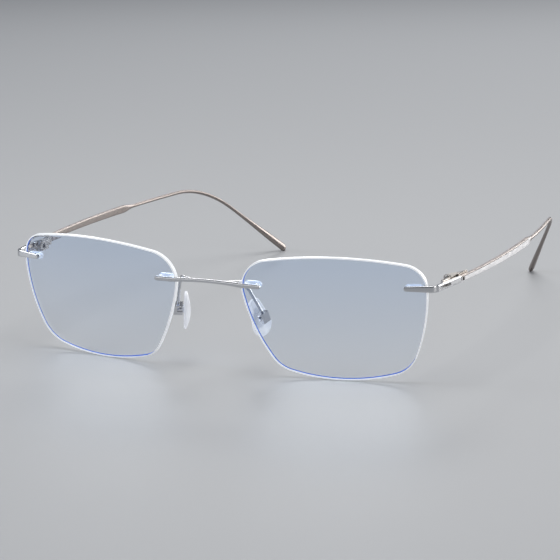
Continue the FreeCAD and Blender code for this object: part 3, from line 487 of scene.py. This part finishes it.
def makeBarTree():
    tree, given, out = newTree("sweptBar", "GeometryNodeTree", (
        ("Path", "NodeSocketGeometry", None), ("Section Points", "NodeSocketInt", 48),
        ("Groove Depth", "NodeSocketFloat", 0.0), ("Groove Height", "NodeSocketFloat", 0.72),
        ("Groove Width", "NodeSocketFloat", 0.10), ("Finish", "NodeSocketMaterial", None)),
        [("Bar", "NodeSocketGeometry")])
    calc = partial(mathNode, tree)

    def vectors(operation, a, b):
        key = "Scale" if operation == "SCALE" else 1
        return addNode(tree, "ShaderNodeVectorMath", {0: a, key: b},
                       operation=operation).outputs["Vector"]

    stations = addNode(tree, "GeometryNodeAttributeDomainSize", {"Geometry": given["Path"]})
    around = calc("ADD", given["Section Points"], 1.0)
    grid = addNode(tree, "GeometryNodeMeshGrid",
                   {"Vertices X": stations.outputs["Point Count"], "Vertices Y": around})
    index = addNode(tree, "GeometryNodeInputIndex").outputs["Index"]
    row = calc("FLOOR", calc("DIVIDE", calc("ADD", index, 0.5), around))
    column = calc("MODULO", calc("SUBTRACT", index, calc("MULTIPLY", row, around)),
                  given["Section Points"])
    angle = calc("MULTIPLY", calc("DIVIDE", column, given["Section Points"]), math.tau)

    def sampled(name, kind):
        node = addNode(tree, "GeometryNodeSampleIndex", {"Geometry": given["Path"]},
                       data_type=kind, domain="POINT")
        if name == "position":
            value = addNode(tree, "GeometryNodeInputPosition").outputs["Position"]
        else:
            source = addNode(tree, "GeometryNodeInputNamedAttribute", {"Name": name},
                             data_type=kind)
            value = liveSocket(source.outputs, "Attribute")
        tree.links.new(value, liveSocket(node.inputs, "Value"))
        tree.links.new(row, node.inputs["Index"])
        return liveSocket(node.outputs, "Value")

    squareness = sampled("squareness", "FLOAT")
    blade = sampled("blade", "FLOAT")

    def rounded(part):
        return calc("MULTIPLY", calc("SIGN", part),
                    calc("POWER", calc("ABSOLUTE", part), squareness))

    across = rounded(calc("COSINE", angle))
    upward = rounded(calc("SINE", angle))
    outside = calc("GREATER_THAN", across, 0.5)
    nearLine = calc("COMPARE", upward, given["Groove Height"])
    tree.links.new(given["Groove Width"], nearLine.node.inputs[2])
    inGroove = calc("MULTIPLY", calc("MULTIPLY", outside, nearLine), blade)
    pressed = calc("SUBTRACT", across, calc("MULTIPLY", inGroove, given["Groove Depth"]))
    place = vectors("ADD", sampled("position", "FLOAT_VECTOR"),
                    vectors("ADD", vectors("SCALE", sampled("side", "FLOAT_VECTOR"), pressed),
                            vectors("SCALE", sampled("up", "FLOAT_VECTOR"), upward)))
    tube = addNode(tree, "GeometryNodeSetPosition", {"Geometry": grid.outputs["Mesh"],
                                                     "Position": place})
    outward = addNode(tree, "ShaderNodeMapRange", {"Value": across, "From Min": 0.0,
                                                   "From Max": 0.6})
    shape = tube.outputs["Geometry"]
    underLine = calc("LESS_THAN", upward, given["Groove Height"])
    shine = calc("MULTIPLY", calc("MULTIPLY", outward.outputs["Result"], blade), underLine)
    for name, value in (("polish", shine), ("groove", inGroove)):
        store = addNode(tree, "GeometryNodeStoreNamedAttribute",
                        {"Geometry": shape, "Name": name}, data_type="FLOAT", domain="POINT")
        tree.links.new(value, liveSocket(store.inputs, "Value"))
        shape = store.outputs["Geometry"]
    closed = addNode(tree, "GeometryNodeMergeByDistance", {"Geometry": shape,
                                                           "Distance": weldReach})
    smooth = addNode(tree, "GeometryNodeSetShadeSmooth", {"Geometry": closed.outputs[0]})
    return finishTree(tree, smooth.outputs[0], given, out)


def newPiece(name, mesh):
    piece = bpy.data.objects.new(name, mesh)
    bpy.context.scene.collection.objects.link(piece)
    return piece


def frozen(piece):
    # the evaluated piece as a plain mesh, with its modifiers removed
    bpy.context.view_layer.update()
    graph = bpy.context.evaluated_depsgraph_get()
    mesh = bpy.data.meshes.new_from_object(piece.evaluated_get(graph))
    piece.modifiers.clear()
    piece.data = mesh
    return piece


def tidyNormals(piece, sharpAngle=None):
    shape = bmesh.new()
    shape.from_mesh(piece.data)
    bmesh.ops.remove_doubles(shape, verts=shape.verts, dist=weldReach)
    bmesh.ops.recalc_face_normals(shape, faces=shape.faces)
    shape.to_mesh(piece.data)
    shape.free()
    if sharpAngle:
        piece.data.set_sharp_from_angle(angle=math.radians(sharpAngle))
    return piece


def grown(piece, tree, values):
    # what a tree makes from a piece's points and its own named inputs
    modifier = piece.modifiers.new(tree.name, "NODES")
    modifier.node_group = tree
    sockets = {item.name: item.identifier for item in tree.interface.items_tree
               if item.item_type == "SOCKET" and item.in_out == "INPUT"}
    for name, value in values.items():
        modifier[sockets[name]] = value
    return frozen(piece)


def storeColumn(mesh, label, values):
    # one number or vector for each point of a mesh
    kind, field = (("FLOAT_VECTOR", "vector") if isinstance(values[0], Vector)
                   else ("FLOAT", "value"))
    layer = mesh.attributes.new(label, kind, "POINT")
    for item, value in zip(layer.data, values):
        setattr(item, field, value)


barTree = makeBarTree()


def makeBar(name, stations, material, points=48, grooveDepth=0.0):
    # a station is its place, its side and up vectors at half size, squareness, blade share
    mesh = bpy.data.meshes.new(name)
    spots = [levelToFrame @ Vector(s[0]) for s in stations]
    mesh.from_pydata(spots, [(i, i + 1) for i in range(len(spots) - 1)], [])
    turn = levelToFrame.to_3x3()
    _, sides, ups, squareness, blades = zip(*stations)
    storeColumn(mesh, "side", [turn @ side for side in sides])
    storeColumn(mesh, "up", [turn @ up for up in ups])
    storeColumn(mesh, "squareness", squareness)
    storeColumn(mesh, "blade", blades)
    return tidyNormals(grown(newPiece(name, mesh), barTree, {
        "Section Points": points, "Groove Depth": grooveDepth, "Finish": material}))


def spaced(start, end, step):
    count = max(1, math.ceil((end - start) / step))
    return [start + (end - start) * i / count for i in range(count + 1)]


def eased(distance, radius):
    # how much of a rounded end is left at a distance from its tip
    if distance >= radius:
        return 1.0
    return math.sqrt(max(0.0, 1 - (1 - distance / radius) ** 2))


def endRings(radius, count=6):
    # distances from the tip, closer together towards it
    return [radius * (1 - math.cos(math.pi / 2 * i / count)) for i in range(count + 1)]


def merged(*runs):
    # the distances of several runs in order, each once
    return sorted({round(value, 5) for run in runs for value in run})


def capped(stations, rear=True):
    # a ring of no size closes an end
    blank = Vector((0, 0, 0))
    ends = [(here, blank, blank, squareness, blade)
            for here, _, _, squareness, blade in (stations[0], stations[-1])]
    return ends[:1] + stations + (ends[1:] if rear else [])


# bridge
atTip = 1e-4  # millimetres


def bridgeStations(look):
    neck = nasalPoint.x - barReach
    tip = nasalPoint.x + barReach
    half = look["endHeight"] / 2
    middle = look["midHeight"] / 2
    mid = look["seatGap"] + look["depth"] / 2
    turn = bridgeFrame.to_3x3()
    right = merged([tip - d for d in endRings(half)],
                   [tip - d for d in endRings(look["edge"])], spaced(0, tip - half, 0.6))
    stations = []
    for x in [-v for v in reversed(right) if v > 0] + right:
        share = min(1.0, abs(x) / neck)
        rise = look["arch"] * (1 - share ** 2)
        tall = middle + (half - middle) * share ** 2
        left = tip - abs(x)
        tall *= eased(left, half)
        deep = look["depth"] / 2 - look["edge"] * (1 - eased(left, look["edge"]))
        if left < atTip:
            tall = 0.0
        stations.append((bridgeFrame @ Vector((x, rise, mid)), turn @ Vector((0, 0, deep)),
                         turn @ Vector((0, tall, 0)), look["squareness"], 0.0))
    return capped(stations)


bridge = makeBar("bridge_bar", bridgeStations(bridgeSizes), metals["polishedMetal"])
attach(bridge, "front")
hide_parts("bridge")
print("bridge ready")

# right-hand twins


def mirrorPiece(piece, name):
    mesh = piece.data.copy()
    mesh.transform(Matrix.Scale(-1, 4, (1, 0, 0)))
    mesh.flip_normals()
    return newPiece(name, mesh)


def bothSides(piece, name, body, node):
    # left piece and its twin, each on its own body and standing for its own node
    twin = mirrorPiece(piece, name + "_right")
    for item, side in ((piece, "left"), (twin, "right")):
        item.name = name + "_" + side
        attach(item, body.replace("SIDE", side))
        if node:
            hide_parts(node + "_" + side)
    return piece, twin


def carve(piece, cutters):
    for cutter in cutters:
        modifier = piece.modifiers.new("carve", "BOOLEAN")
        modifier.operation = "DIFFERENCE"
        modifier.solver = "EXACT"
        modifier.object = cutter
    frozen(piece)
    for cutter in cutters:
        bpy.data.objects.remove(cutter)
    return piece


def stitch(shape, rings, index=0):
    # strips of faces between closed rings of points
    for outer, within in zip(rings, rings[1:]):
        for i in range(len(outer)):
            j = (i + 1) % len(outer)
            face = shape.faces.new((outer[i], outer[j], within[j], within[i]))
            face.material_index = index


def closePole(shape, ring, place):
    pole = shape.verts.new(place)
    for i in range(len(ring)):
        shape.faces.new((ring[i], ring[(i + 1) % len(ring)], pole))


def placed(shape, name, materials, place, smooth=True):
    # a closed shape as a piece in its place, with its faces turned outwards
    bmesh.ops.recalc_face_normals(shape, faces=shape.faces)
    for face in shape.faces:
        face.smooth = smooth
    mesh = bpy.data.meshes.new(name)
    shape.to_mesh(mesh)
    shape.free()
    for material in materials:
        mesh.materials.append(material)
    mesh.transform(levelToFrame @ place)
    return newPiece(name, mesh)


def prism(name, outline, reach, place, materials):
    # cutter: an outline in a frame's X and Y, reaching as far to both sides
    shape = bmesh.new()
    floor, roof = [[shape.verts.new((x, y, z)) for x, y in outline] for z in (-reach, reach)]
    shape.faces.new(list(reversed(floor)))
    shape.faces.new(roof)
    stitch(shape, [floor, roof])
    for face in shape.faces:
        face.material_index = len(materials) - 1
    return placed(shape, name, materials, place, smooth=False)


def arcPoints(centre, radius, start, end, step):
    count = max(2, math.ceil(abs(end - start) * radius / step))
    return [(centre[0] + radius * math.cos(start + (end - start) * i / count),
             centre[1] + radius * math.sin(start + (end - start) * i / count))
            for i in range(count + 1)]


def roundOutline(radius, step=0.12):
    return arcPoints((0, 0), radius, 0, math.tau, step)[:-1]


def stadium(length, height, step=0.08):
    radius = height / 2
    reach = length / 2 - radius
    return (arcPoints((reach, 0), radius, -math.pi / 2, math.pi / 2, step)
            + arcPoints((-reach, 0), radius, math.pi / 2, math.pi * 1.5, step))

# lenses


def lensOutline(look):
    # four corner arcs, joined by flatter arcs that are tangent to both their corners
    corners = [(Vector((sx * (look["width"] / 2 - ix), sy * (look["height"] / 2 - iy))), r, side)
               for sx, sy, ix, iy, r, side in look["corners"]]
    sides = []
    for i, (first, firstRadius, radius) in enumerate(corners):
        second, secondRadius, _ = corners[(i + 1) % 4]
        span = (second - first).length
        along = (second - first).normalized()
        reach1, reach2 = radius - firstRadius, radius - secondRadius
        foot = (reach1 ** 2 - reach2 ** 2 + span ** 2) / (2 * span)
        inside = Vector((-along.y, along.x))
        sides.append((first + along * foot + inside * math.sqrt(reach1 ** 2 - foot ** 2),
                      radius))
    outline = []
    for i, (corner, cornerRadius, _) in enumerate(corners):
        before, (centre, radius) = sides[i - 1][0], sides[i]
        following = corners[(i + 1) % 4][0]
        for middle, size, fromPoint, toPoint, step in (
                (corner, cornerRadius, corner - before, corner - centre, 0.45),
                (centre, radius, corner - centre, following - centre, 0.9)):
            start = math.atan2(fromPoint.y, fromPoint.x)
            end = math.atan2(toPoint.y, toPoint.x)
            while end < start:
                end += math.tau
            outline += arcPoints(middle, size, start, end, step)[:-1]
    return outline


def insetOutline(outline, depth):
    result = []
    for i, (x, y) in enumerate(outline):
        ax, ay = outline[i - 1]
        bx, by = outline[(i + 1) % len(outline)]
        normal = Vector((-(by - ay), bx - ax)).normalized()
        result.append((x + normal.x * depth, y + normal.y * depth))
    return result


lensRings = (1.0, 0.975, 0.94, 0.88, 0.8, 0.7, 0.59, 0.47, 0.35, 0.22, 0.1)


def makeLens(look):
    # two curved faces in glass, and a bevelled rim of two finishes between them
    outline = lensOutline(look)
    frontInset, frontDrop = look["bevel"]
    rearInset, rearDrop = look["rearBevel"]
    coatInset, coatDrop = look["coatedBevel"]
    shape = bmesh.new()

    def ring(inset, height, share=1.0, lift=0.0):
        points = [(x * share, y * share) for x, y in insetOutline(outline, inset)]
        return [shape.verts.new((x, y, height(x, y) + lift)) for x, y in points]

    front = [ring(frontInset, frontZ, share) for share in lensRings]
    back = [ring(rearInset + coatInset, backZ, share) for share in lensRings]
    rim = [front[0], ring(0, frontZ, lift=-frontDrop), ring(0, backZ, lift=coatDrop + rearDrop),
           ring(rearInset, backZ, lift=coatDrop)]
    stitch(shape, front)
    stitch(shape, back)
    stitch(shape, rim, 1)
    stitch(shape, [rim[-1], back[0]], 2)
    closePole(shape, front[-1], (0, 0, frontZ(0, 0)))
    closePole(shape, back[-1], (0, 0, backZ(0, 0)))
    piece = placed(shape, "lens", [lensGlass] + lensEdges, lensFrame)
    half = bridgeSizes["studPitch"] / 2
    drills = []
    for mount in (nasalFrame, endFrame):
        for x in (-half, half):
            drills.append(prism("drill", roundOutline(look["drill"] / 2), look["drillReach"],
                                mount @ Matrix.Translation((x, 0, 0)),
                                (lensGlass, lensEdges[0])))
    carve(piece, drills)
    return tidyNormals(piece, 22)


bothSides(makeLens(lensSizes), "lens_glass", "front", "lens")
print("lenses ready")

# endpieces


def armStations(look):
    # along the lens, round the bend and back to the hinge
    along1 = (armCorner - armTip).normalized()
    along2 = (armEnd - armCorner).normalized()
    turn = along1.angle(along2)
    reach = look["bend"] * math.tan(turn / 2)
    bendIn = armCorner - along1 * reach
    inward = Vector((-along1.y, along1.x, 0))
    centre = bendIn + inward * look["bend"]
    front = (bendIn - armTip).length
    arc = look["bend"] * turn
    total = front + arc + look["rear"] - reach
    up = Vector((0, 0, 1))
    half, tipHalf, thick = look["height"] / 2, look["tipHeight"] / 2, look["thick"] / 2

    def spot(s):
        if s < front:
            return armTip + along1 * s, along1
        spin = Matrix.Rotation(min(turn, (s - front) / look["bend"]), 3, "Z")
        along = spin @ along1
        return centre + spin @ (bendIn - centre) + along * max(0.0, s - front - arc), along

    places = merged(endRings(tipHalf), endRings(look["edge"]),
                    [total - v for v in endRings(look["edge"])], spaced(tipHalf, front, 0.5),
                    spaced(front, front + arc, 0.22),
                    spaced(front + arc, total - look["edge"], 0.5))
    stations = []
    for s in places:
        here, along = spot(s)
        out = Vector((along.y, -along.x, 0))
        tall = tipHalf + (half - tipHalf) * min(1.0, max(0.0, s - tipHalf) / (front - tipHalf))
        tall *= eased(s, tipHalf)
        tall -= look["edge"] * (1 - eased(total - s, look["edge"]))
        deep = thick - look["edge"] * (1 - eased(min(s, total - s), look["edge"]))
        stations.append((here, out * deep, up * tall, look["squareness"], 0.0))
    return capped(stations)


def makeEndpiece(look):
    bar = makeBar("endpiece", armStations(look), metals["polishedMetal"])
    middle = armEnd - rearAlong * (look["rear"] - look["slotStart"] - look["slotLength"] / 2)
    out = Vector((rearAlong.y, -rearAlong.x, 0))
    place = (Matrix.Translation(middle)
             @ Matrix((rearAlong, Vector((0, 0, 1)), out)).transposed().to_4x4())
    slot = prism("slot", stadium(look["slotLength"], look["slotHeight"]), look["slotReach"],
                 place, (metals["hingeMetal"],))
    carve(bar, [slot])
    return tidyNormals(bar, 40)


bothSides(makeEndpiece(armSizes), "endpiece_arm", "front", "endpiece")
print("endpieces ready")

# studs: one turned pin set on every mount by a tree
studSizes = {"radius": 0.45, "dome": 0.22, "clampGap": 0.2, "clampThick": 0.6, "proud": 0.25}


def makeStudTree():
    tree, given, out = newTree("studRow", "GeometryNodeTree", (
        ("Spots", "NodeSocketGeometry", None), ("Radius", "NodeSocketFloat", None),
        ("Length", "NodeSocketFloat", None), ("Dome", "NodeSocketFloat", None),
        ("Finish", "NodeSocketMaterial", None)), [("Studs", "NodeSocketGeometry")])
    calc = partial(mathNode, tree)
    top = addNode(tree, "ShaderNodeCombineXYZ", {"Z": given["Length"]}).outputs["Vector"]
    line = addNode(tree, "GeometryNodeCurvePrimitiveLine", {"End": top})
    fine = addNode(tree, "GeometryNodeResampleCurve", {"Curve": line.outputs["Curve"],
                                                       "Count": 60})
    along = addNode(tree, "GeometryNodeSplineParameter").outputs["Length"]
    left = calc("SUBTRACT", given["Length"], along)
    fall = calc("SUBTRACT", 1.0, calc("MINIMUM", calc("DIVIDE", left, given["Dome"]), 1.0))
    dome = calc("SQRT", calc("MAXIMUM", calc("SUBTRACT", 1.0, calc("MULTIPLY", fall, fall)),
                             0.0002))
    ring = addNode(tree, "GeometryNodeCurvePrimitiveCircle", {"Resolution": 32, "Radius": 1.0})
    pin = addNode(tree, "GeometryNodeCurveToMesh",
                  {"Curve": fine.outputs["Curve"], "Profile Curve": ring.outputs["Curve"],
                   "Scale": calc("MULTIPLY", dome, given["Radius"]), "Fill Caps": True})
    axis = addNode(tree, "GeometryNodeInputNamedAttribute", {"Name": "axis"},
                   data_type="FLOAT_VECTOR")
    turn = addNode(tree, "FunctionNodeAlignRotationToVector",
                   {"Vector": liveSocket(axis.outputs, "Attribute")}, axis="Z")
    points = addNode(tree, "GeometryNodeMeshToPoints", {"Mesh": given["Spots"]})
    rows = addNode(tree, "GeometryNodeInstanceOnPoints",
                   {"Points": points.outputs["Points"], "Instance": pin.outputs["Mesh"],
                    "Rotation": turn.outputs["Rotation"]})
    return finishTree(tree, rows.outputs["Instances"], given, out)


studTree = makeStudTree()


def makeStuds(name, mount, glass, look):
    # pins from the bar's back face through the lens to just past the clamp plate
    reach = look["clampGap"] + look["clampThick"] + look["proud"] + glass
    half = bridgeSizes["studPitch"] / 2
    start = bridgeSizes["seatGap"]
    spots, axes = [], []
    for x in (-half, half):
        for mirror in (1, -1):
            spot = levelToFrame @ mount @ Vector((x, 0, start))
            axis = (levelToFrame @ mount).to_3x3() @ Vector((0, 0, -1))
            spots.append((spot.x * mirror, spot.y, spot.z))
            axes.append(Vector((axis.x * mirror, axis.y, axis.z)))
    mesh = bpy.data.meshes.new(name)
    mesh.from_pydata(spots, [], [])
    storeColumn(mesh, "axis", axes)
    piece = grown(newPiece(name, mesh), studTree, {
        "Radius": look["radius"] / 1000, "Length": (reach + start) / 1000,
        "Dome": look["dome"] / 1000, "Finish": metals["hingeMetal"]})
    for face in piece.data.polygons:
        face.use_smooth = True
    tidyNormals(piece, 40)
    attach(piece, "front")
    return piece


makeStuds("nasal_studs", nasalFrame, nasalGlass, studSizes)
makeStuds("temporal_studs", endFrame, endGlass, studSizes)
print("studs ready")

# temples
templeSizes = {"length": 145.6, "heading": 3.8, "straight": 8.0, "bow": 357.0, "toBend": 89.7,
               "bend": 39.0, "bendAngle": 41.3, "inward": 25.3, "thick": 1.2,
               "frontHeight": 1.6, "rearHeight": 2.3, "blade": 57.0, "taper": 7.0, "rod": 1.1,
               "tipWidth": 2.8, "tipThick": 1.7, "edge": 0.2, "squareness": 0.30,
               "notchStart": 0.55, "notchLength": 1.0, "notchHeight": 0.9,
               "notchReach": 1.6, "grooveDepth": 0.22, "polishFade": 1.6}


def templePlan(look):
    start = armEnd + rearAlong * armSizes["jointGap"]
    ahead = level(90 - look["heading"])
    inboard = Vector((-ahead.y, ahead.x, 0))
    swing = (look["toBend"] - look["straight"]) / look["bow"]
    lay = math.radians(look["inward"])
    bend = math.radians(look["bendAngle"])
    bowStart = start + ahead * look["straight"]
    up = Vector((0, 0, 1))

    def onBow(angle):
        here = bowStart + (ahead * math.sin(angle) + inboard * (1 - math.cos(angle))) * look["bow"]
        return here, ahead * math.cos(angle) + inboard * math.sin(angle)

    bendStart, levelWay = onBow(swing)
    inner = inboard * math.cos(swing) - ahead * math.sin(swing)
    fall = -up * math.cos(lay) + inner * math.sin(lay)
    bendLength = look["bend"] * bend

    def spot(s):
        # place, direction and the vector that points up the section
        if s <= look["straight"]:
            return start + ahead * s, ahead, up
        if s <= look["toBend"]:
            here, along = onBow((s - look["straight"]) / look["bow"])
            share = (s - look["blade"] - look["taper"]) / (
                look["toBend"] - look["blade"] - look["taper"])
            share = min(1.0, max(0.0, share))
            return here, along, (up * (1 - share) - fall * share).normalized()
        angle = min(bend, (s - look["toBend"]) / look["bend"])
        here = bendStart + (levelWay * math.sin(angle) + fall * (1 - math.cos(angle))) * look[
            "bend"]
        along = levelWay * math.cos(angle) + fall * math.sin(angle)
        here = here + along * max(0.0, s - look["toBend"] - bendLength)
        return here, along, levelWay * math.sin(angle) - fall * math.cos(angle)

    return spot, look["toBend"] + bendLength


def templeStations(look):
    spot, tipStart = templePlan(look)
    blade, bladeEnd, total = look["blade"], look["blade"] + look["taper"], look["length"]
    capStart = total - look["tipWidth"] / 2
    rod = look["rod"] / 2
    places = merged(endRings(look["edge"]), spaced(look["edge"], blade, 0.9),
                    spaced(blade, bladeEnd, 0.2), spaced(bladeEnd, look["toBend"], 1.3),
                    spaced(look["toBend"], tipStart, 0.8), spaced(tipStart, capStart, 0.7),
                    [total - v for v in endRings(look["tipWidth"] / 2, 9)])
    stations = []
    for s in places:
        here, along, up = spot(s)
        out = along.cross(up).normalized()
        up = out.cross(along).normalized()
        squareness, onBlade = 1.0, 0.0
        if s <= bladeEnd:
            share = max(0.0, (s - blade) / look["taper"])
            share = share * share * (3 - 2 * share)
            tall = look["frontHeight"] + (look["rearHeight"] - look["frontHeight"]) * min(
                1.0, s / blade)
            tall = (tall / 2) * (1 - share) + rod * share
            deep = (look["thick"] / 2) * (1 - share) + rod * share
            squareness = look["squareness"] * (1 - share) + share
            onBlade = max(0.0, 1 - share * look["polishFade"])
            ease = look["edge"] * (1 - eased(s, look["edge"]))
            tall -= ease
            deep -= ease
        elif s <= tipStart:
            tall = deep = rod
        else:
            grow = math.sin(min(1.0, (s - tipStart) / (capStart - tipStart)) * math.pi / 2) ** 2
            tall = rod + (look["tipWidth"] / 2 - rod) * grow
            deep = rod + (look["tipThick"] / 2 - rod) * grow
            ease = eased(total - s, look["tipWidth"] / 2)
            tall *= ease
            deep *= ease
        stations.append((here, out * deep, up * tall, squareness, onBlade))
    return capped(stations, rear=False)


def makeTemple(look):
    bar = makeBar("temple", templeStations(look), templeMetal, 64, look["grooveDepth"])
    spot, _ = templePlan(look)
    here, along, up = spot(look["notchStart"] + look["notchLength"] / 2)
    out = along.cross(up)
    place = Matrix.Translation(here) @ Matrix((along, up, out)).transposed().to_4x4()
    half, tall = look["notchLength"] / 2, look["notchHeight"] / 2
    notch = prism("notch", [(-half, -tall), (half, -tall), (half, tall), (-half, tall)],
                  look["notchReach"], place, (templeMetal,))
    carve(bar, [notch])
    return tidyNormals(bar, 50)


bothSides(makeTemple(templeSizes), "temple_bar", "temple_SIDE", "temple")
print("temples ready")

# pad wires
padSizes = {"outset": 2.68, "behind": 5.27, "below": 1.84, "lean": 19.6, "frontal": 11.0,
            "splay": 23.7, "length": 12.0, "lowRadius": 3.5, "topRadius": 2.0, "thick": 1.9,
            "standoff": 1.15, "drop": 0.4, "rounding": 0.35, "crown": 1.0, "cup": 0.75,
            "backEdge": 0.25, "poleDrop": 0.8, "cornerShare": 0.999,
            "backShares": (0.12, 0.3, 0.46, 0.6, 0.72, 0.82, 0.91, 1.0),
            "faceShares": (0.95, 0.88, 0.79, 0.68, 0.56, 0.43, 0.28, 0.12)}
wireSizes = {"diameter": 0.9, "bend": 1.4, "start": 4.3, "edgeGap": 0.75, "behind": 0.4,
             "fall": 2.6, "boxDepth": 0.6, "boxLength": 3.0, "boxWall": 0.35}

padUp = Vector((-math.tan(math.radians(padSizes["frontal"])),
                -math.tan(math.radians(padSizes["lean"])), 1)).normalized()
padFace = level(180 - padSizes["splay"])
padFace = (padFace - padUp * padFace.dot(padUp)).normalized()
lensBase = lensFrame.translation
padFrame = (Matrix.Translation((lensSizes["gap"] / 2 + padSizes["outset"],
                                lensBase.y + padSizes["behind"],
                                lensBase.z - padSizes["below"]))
            @ Matrix((padUp.cross(padFace), padUp, padFace)).transposed().to_4x4())


def wireStations(look):
    # from the back of the bridge, round the lens edge and down to the pad box
    rise = bridgeSizes["arch"] * (1 - (look["start"] / (nasalPoint.x
                                                        - bridgeSizes["studPitch"])) ** 2)
    root = bridgeFrame @ Vector((look["start"], rise,
                                 bridgeSizes["seatGap"] + bridgeSizes["depth"] / 2))
    edge = lensSizes["gap"] / 2
    behind = nasalPoint.y + nasalGlass + look["diameter"] + look["behind"]
    outer = Vector((edge - look["edgeGap"], behind, root.z))
    fall = Vector((edge + look["edgeGap"], behind + look["diameter"] * 2,
                   root.z - look["fall"]))
    foot = padFrame @ Vector((0, look["boxLength"] / 2 - look["boxWall"] / 2,
                              -look["boxDepth"]))
    points = [root, outer, fall, foot]
    route = [(root, (outer - root).normalized())]
    for before, corner, after in zip(points, points[1:], points[2:]):
        inward = (corner - before).normalized()
        onward = (after - corner).normalized()
        turn = inward.angle(onward)
        reach = look["bend"] * math.tan(turn / 2)
        start = corner - inward * reach
        centre = start + (onward - inward * onward.dot(inward)).normalized() * look["bend"]
        axis = inward.cross(onward).normalized()
        for i in range(13):
            spin = Matrix.Rotation(turn * i / 12, 3, axis)
            route.append((centre + spin @ (start - centre), spin @ inward))
    route.append((foot, route[-1][1]))
    radius = look["diameter"] / 2
    side = (route[0][1].cross(Vector((0, 0, 1)))).normalized()
    stations = []
    for here, along in route:
        side = (side - along * side.dot(along)).normalized()
        stations.append((here, side * radius, side.cross(along) * radius, 1.0, 0.0))
    return capped(stations)


padWire = makeBar("pad_wire", wireStations(wireSizes), metals["polishedMetal"], 28)
bothSides(tidyNormals(padWire, 50), "pad_wire", "front", "pad_arm")
print("pad wires ready")

# nose pads: a crowned teardrop of silicone with a soft rim


def teardrop(look, step=0.35):
    low = -look["drop"] - look["length"] / 2 + look["lowRadius"]
    high = -look["drop"] + look["length"] / 2 - look["topRadius"]
    tilt = math.asin((look["lowRadius"] - look["topRadius"]) / (high - low))
    top = arcPoints((0, high), look["topRadius"], tilt, math.pi - tilt, step)
    bottom = arcPoints((0, low), look["lowRadius"], math.pi - tilt, math.tau + tilt, step)
    sides = []
    for a, b in ((top[-1], bottom[0]), (bottom[-1], top[0])):
        sides.append([(a[0] + (b[0] - a[0]) * i / 12, a[1] + (b[1] - a[1]) * i / 12)
                      for i in range(1, 12)])
    return top + sides[0] + bottom + sides[1]


def makePad(look):
    outline = teardrop(look)
    middle = -look["drop"] - look["poleDrop"]
    shape = bmesh.new()
    low = look["standoff"]
    high = low + look["thick"]

    def ring(inset, share, height):
        points = insetOutline(outline, inset)
        return [shape.verts.new((x * share, middle + (y - middle) * share, height))
                for x, y in points]

    rings = [ring(look["backEdge"], k, low + look["cup"] * (1 - k ** 2))
             for k in look["backShares"]]
    for i in (1, 2, 3, 4):
        a = math.pi / 2 * i / 4
        rings.append(ring(look["backEdge"] * (1 - math.sin(a)), 1.0,
                          low + look["backEdge"] * (1 - math.cos(a))))
    soft = look["rounding"]
    shoulder = high - look["crown"]
    for i in range(7):
        a = math.pi / 2 * i / 6
        rings.append(ring(soft * (1 - math.cos(a)) * look["cornerShare"], 1.0,
                          shoulder - soft * (1 - math.sin(a))))
    for k in look["faceShares"]:
        rings.append(ring(soft, k, shoulder + look["crown"] * (1 - k ** 2)))
    stitch(shape, rings)
    closePole(shape, rings[0], (0, middle, low + look["cup"]))
    closePole(shape, rings[-1], (0, middle, high))
    return placed(shape, "nose_pad", [clears["padSilicone"]], padFrame)


pads = bothSides(makePad(padSizes), "silicone_pad", "pad_SIDE", "nose_pad")
print("nose pads ready")

# finishes of the nodes whose shape stays
nodeFinishes = (("nasal_sleeve", clears["sleevePlastic"]),
                ("temporal_sleeve", clears["sleevePlastic"]),
                ("hinge_tongue", metals["hingeMetal"]), ("hinge_fork", metals["hingeMetal"]),
                ("hinge_screw", metals["screwSteel"]), ("pad_screw", metals["padSilver"]),
                ("hinge_washers", clears["washerPlastic"]), ("pad_core", clears["corePlastic"]),
                ("pad_box", metals["padSilver"]))
for stem, material in nodeFinishes:
    for side in ("left", "right"):
        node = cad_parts["%s_%s" % (stem, side)]
        node.data.materials.clear()
        node.data.materials.append(material)
print("node finishes set")
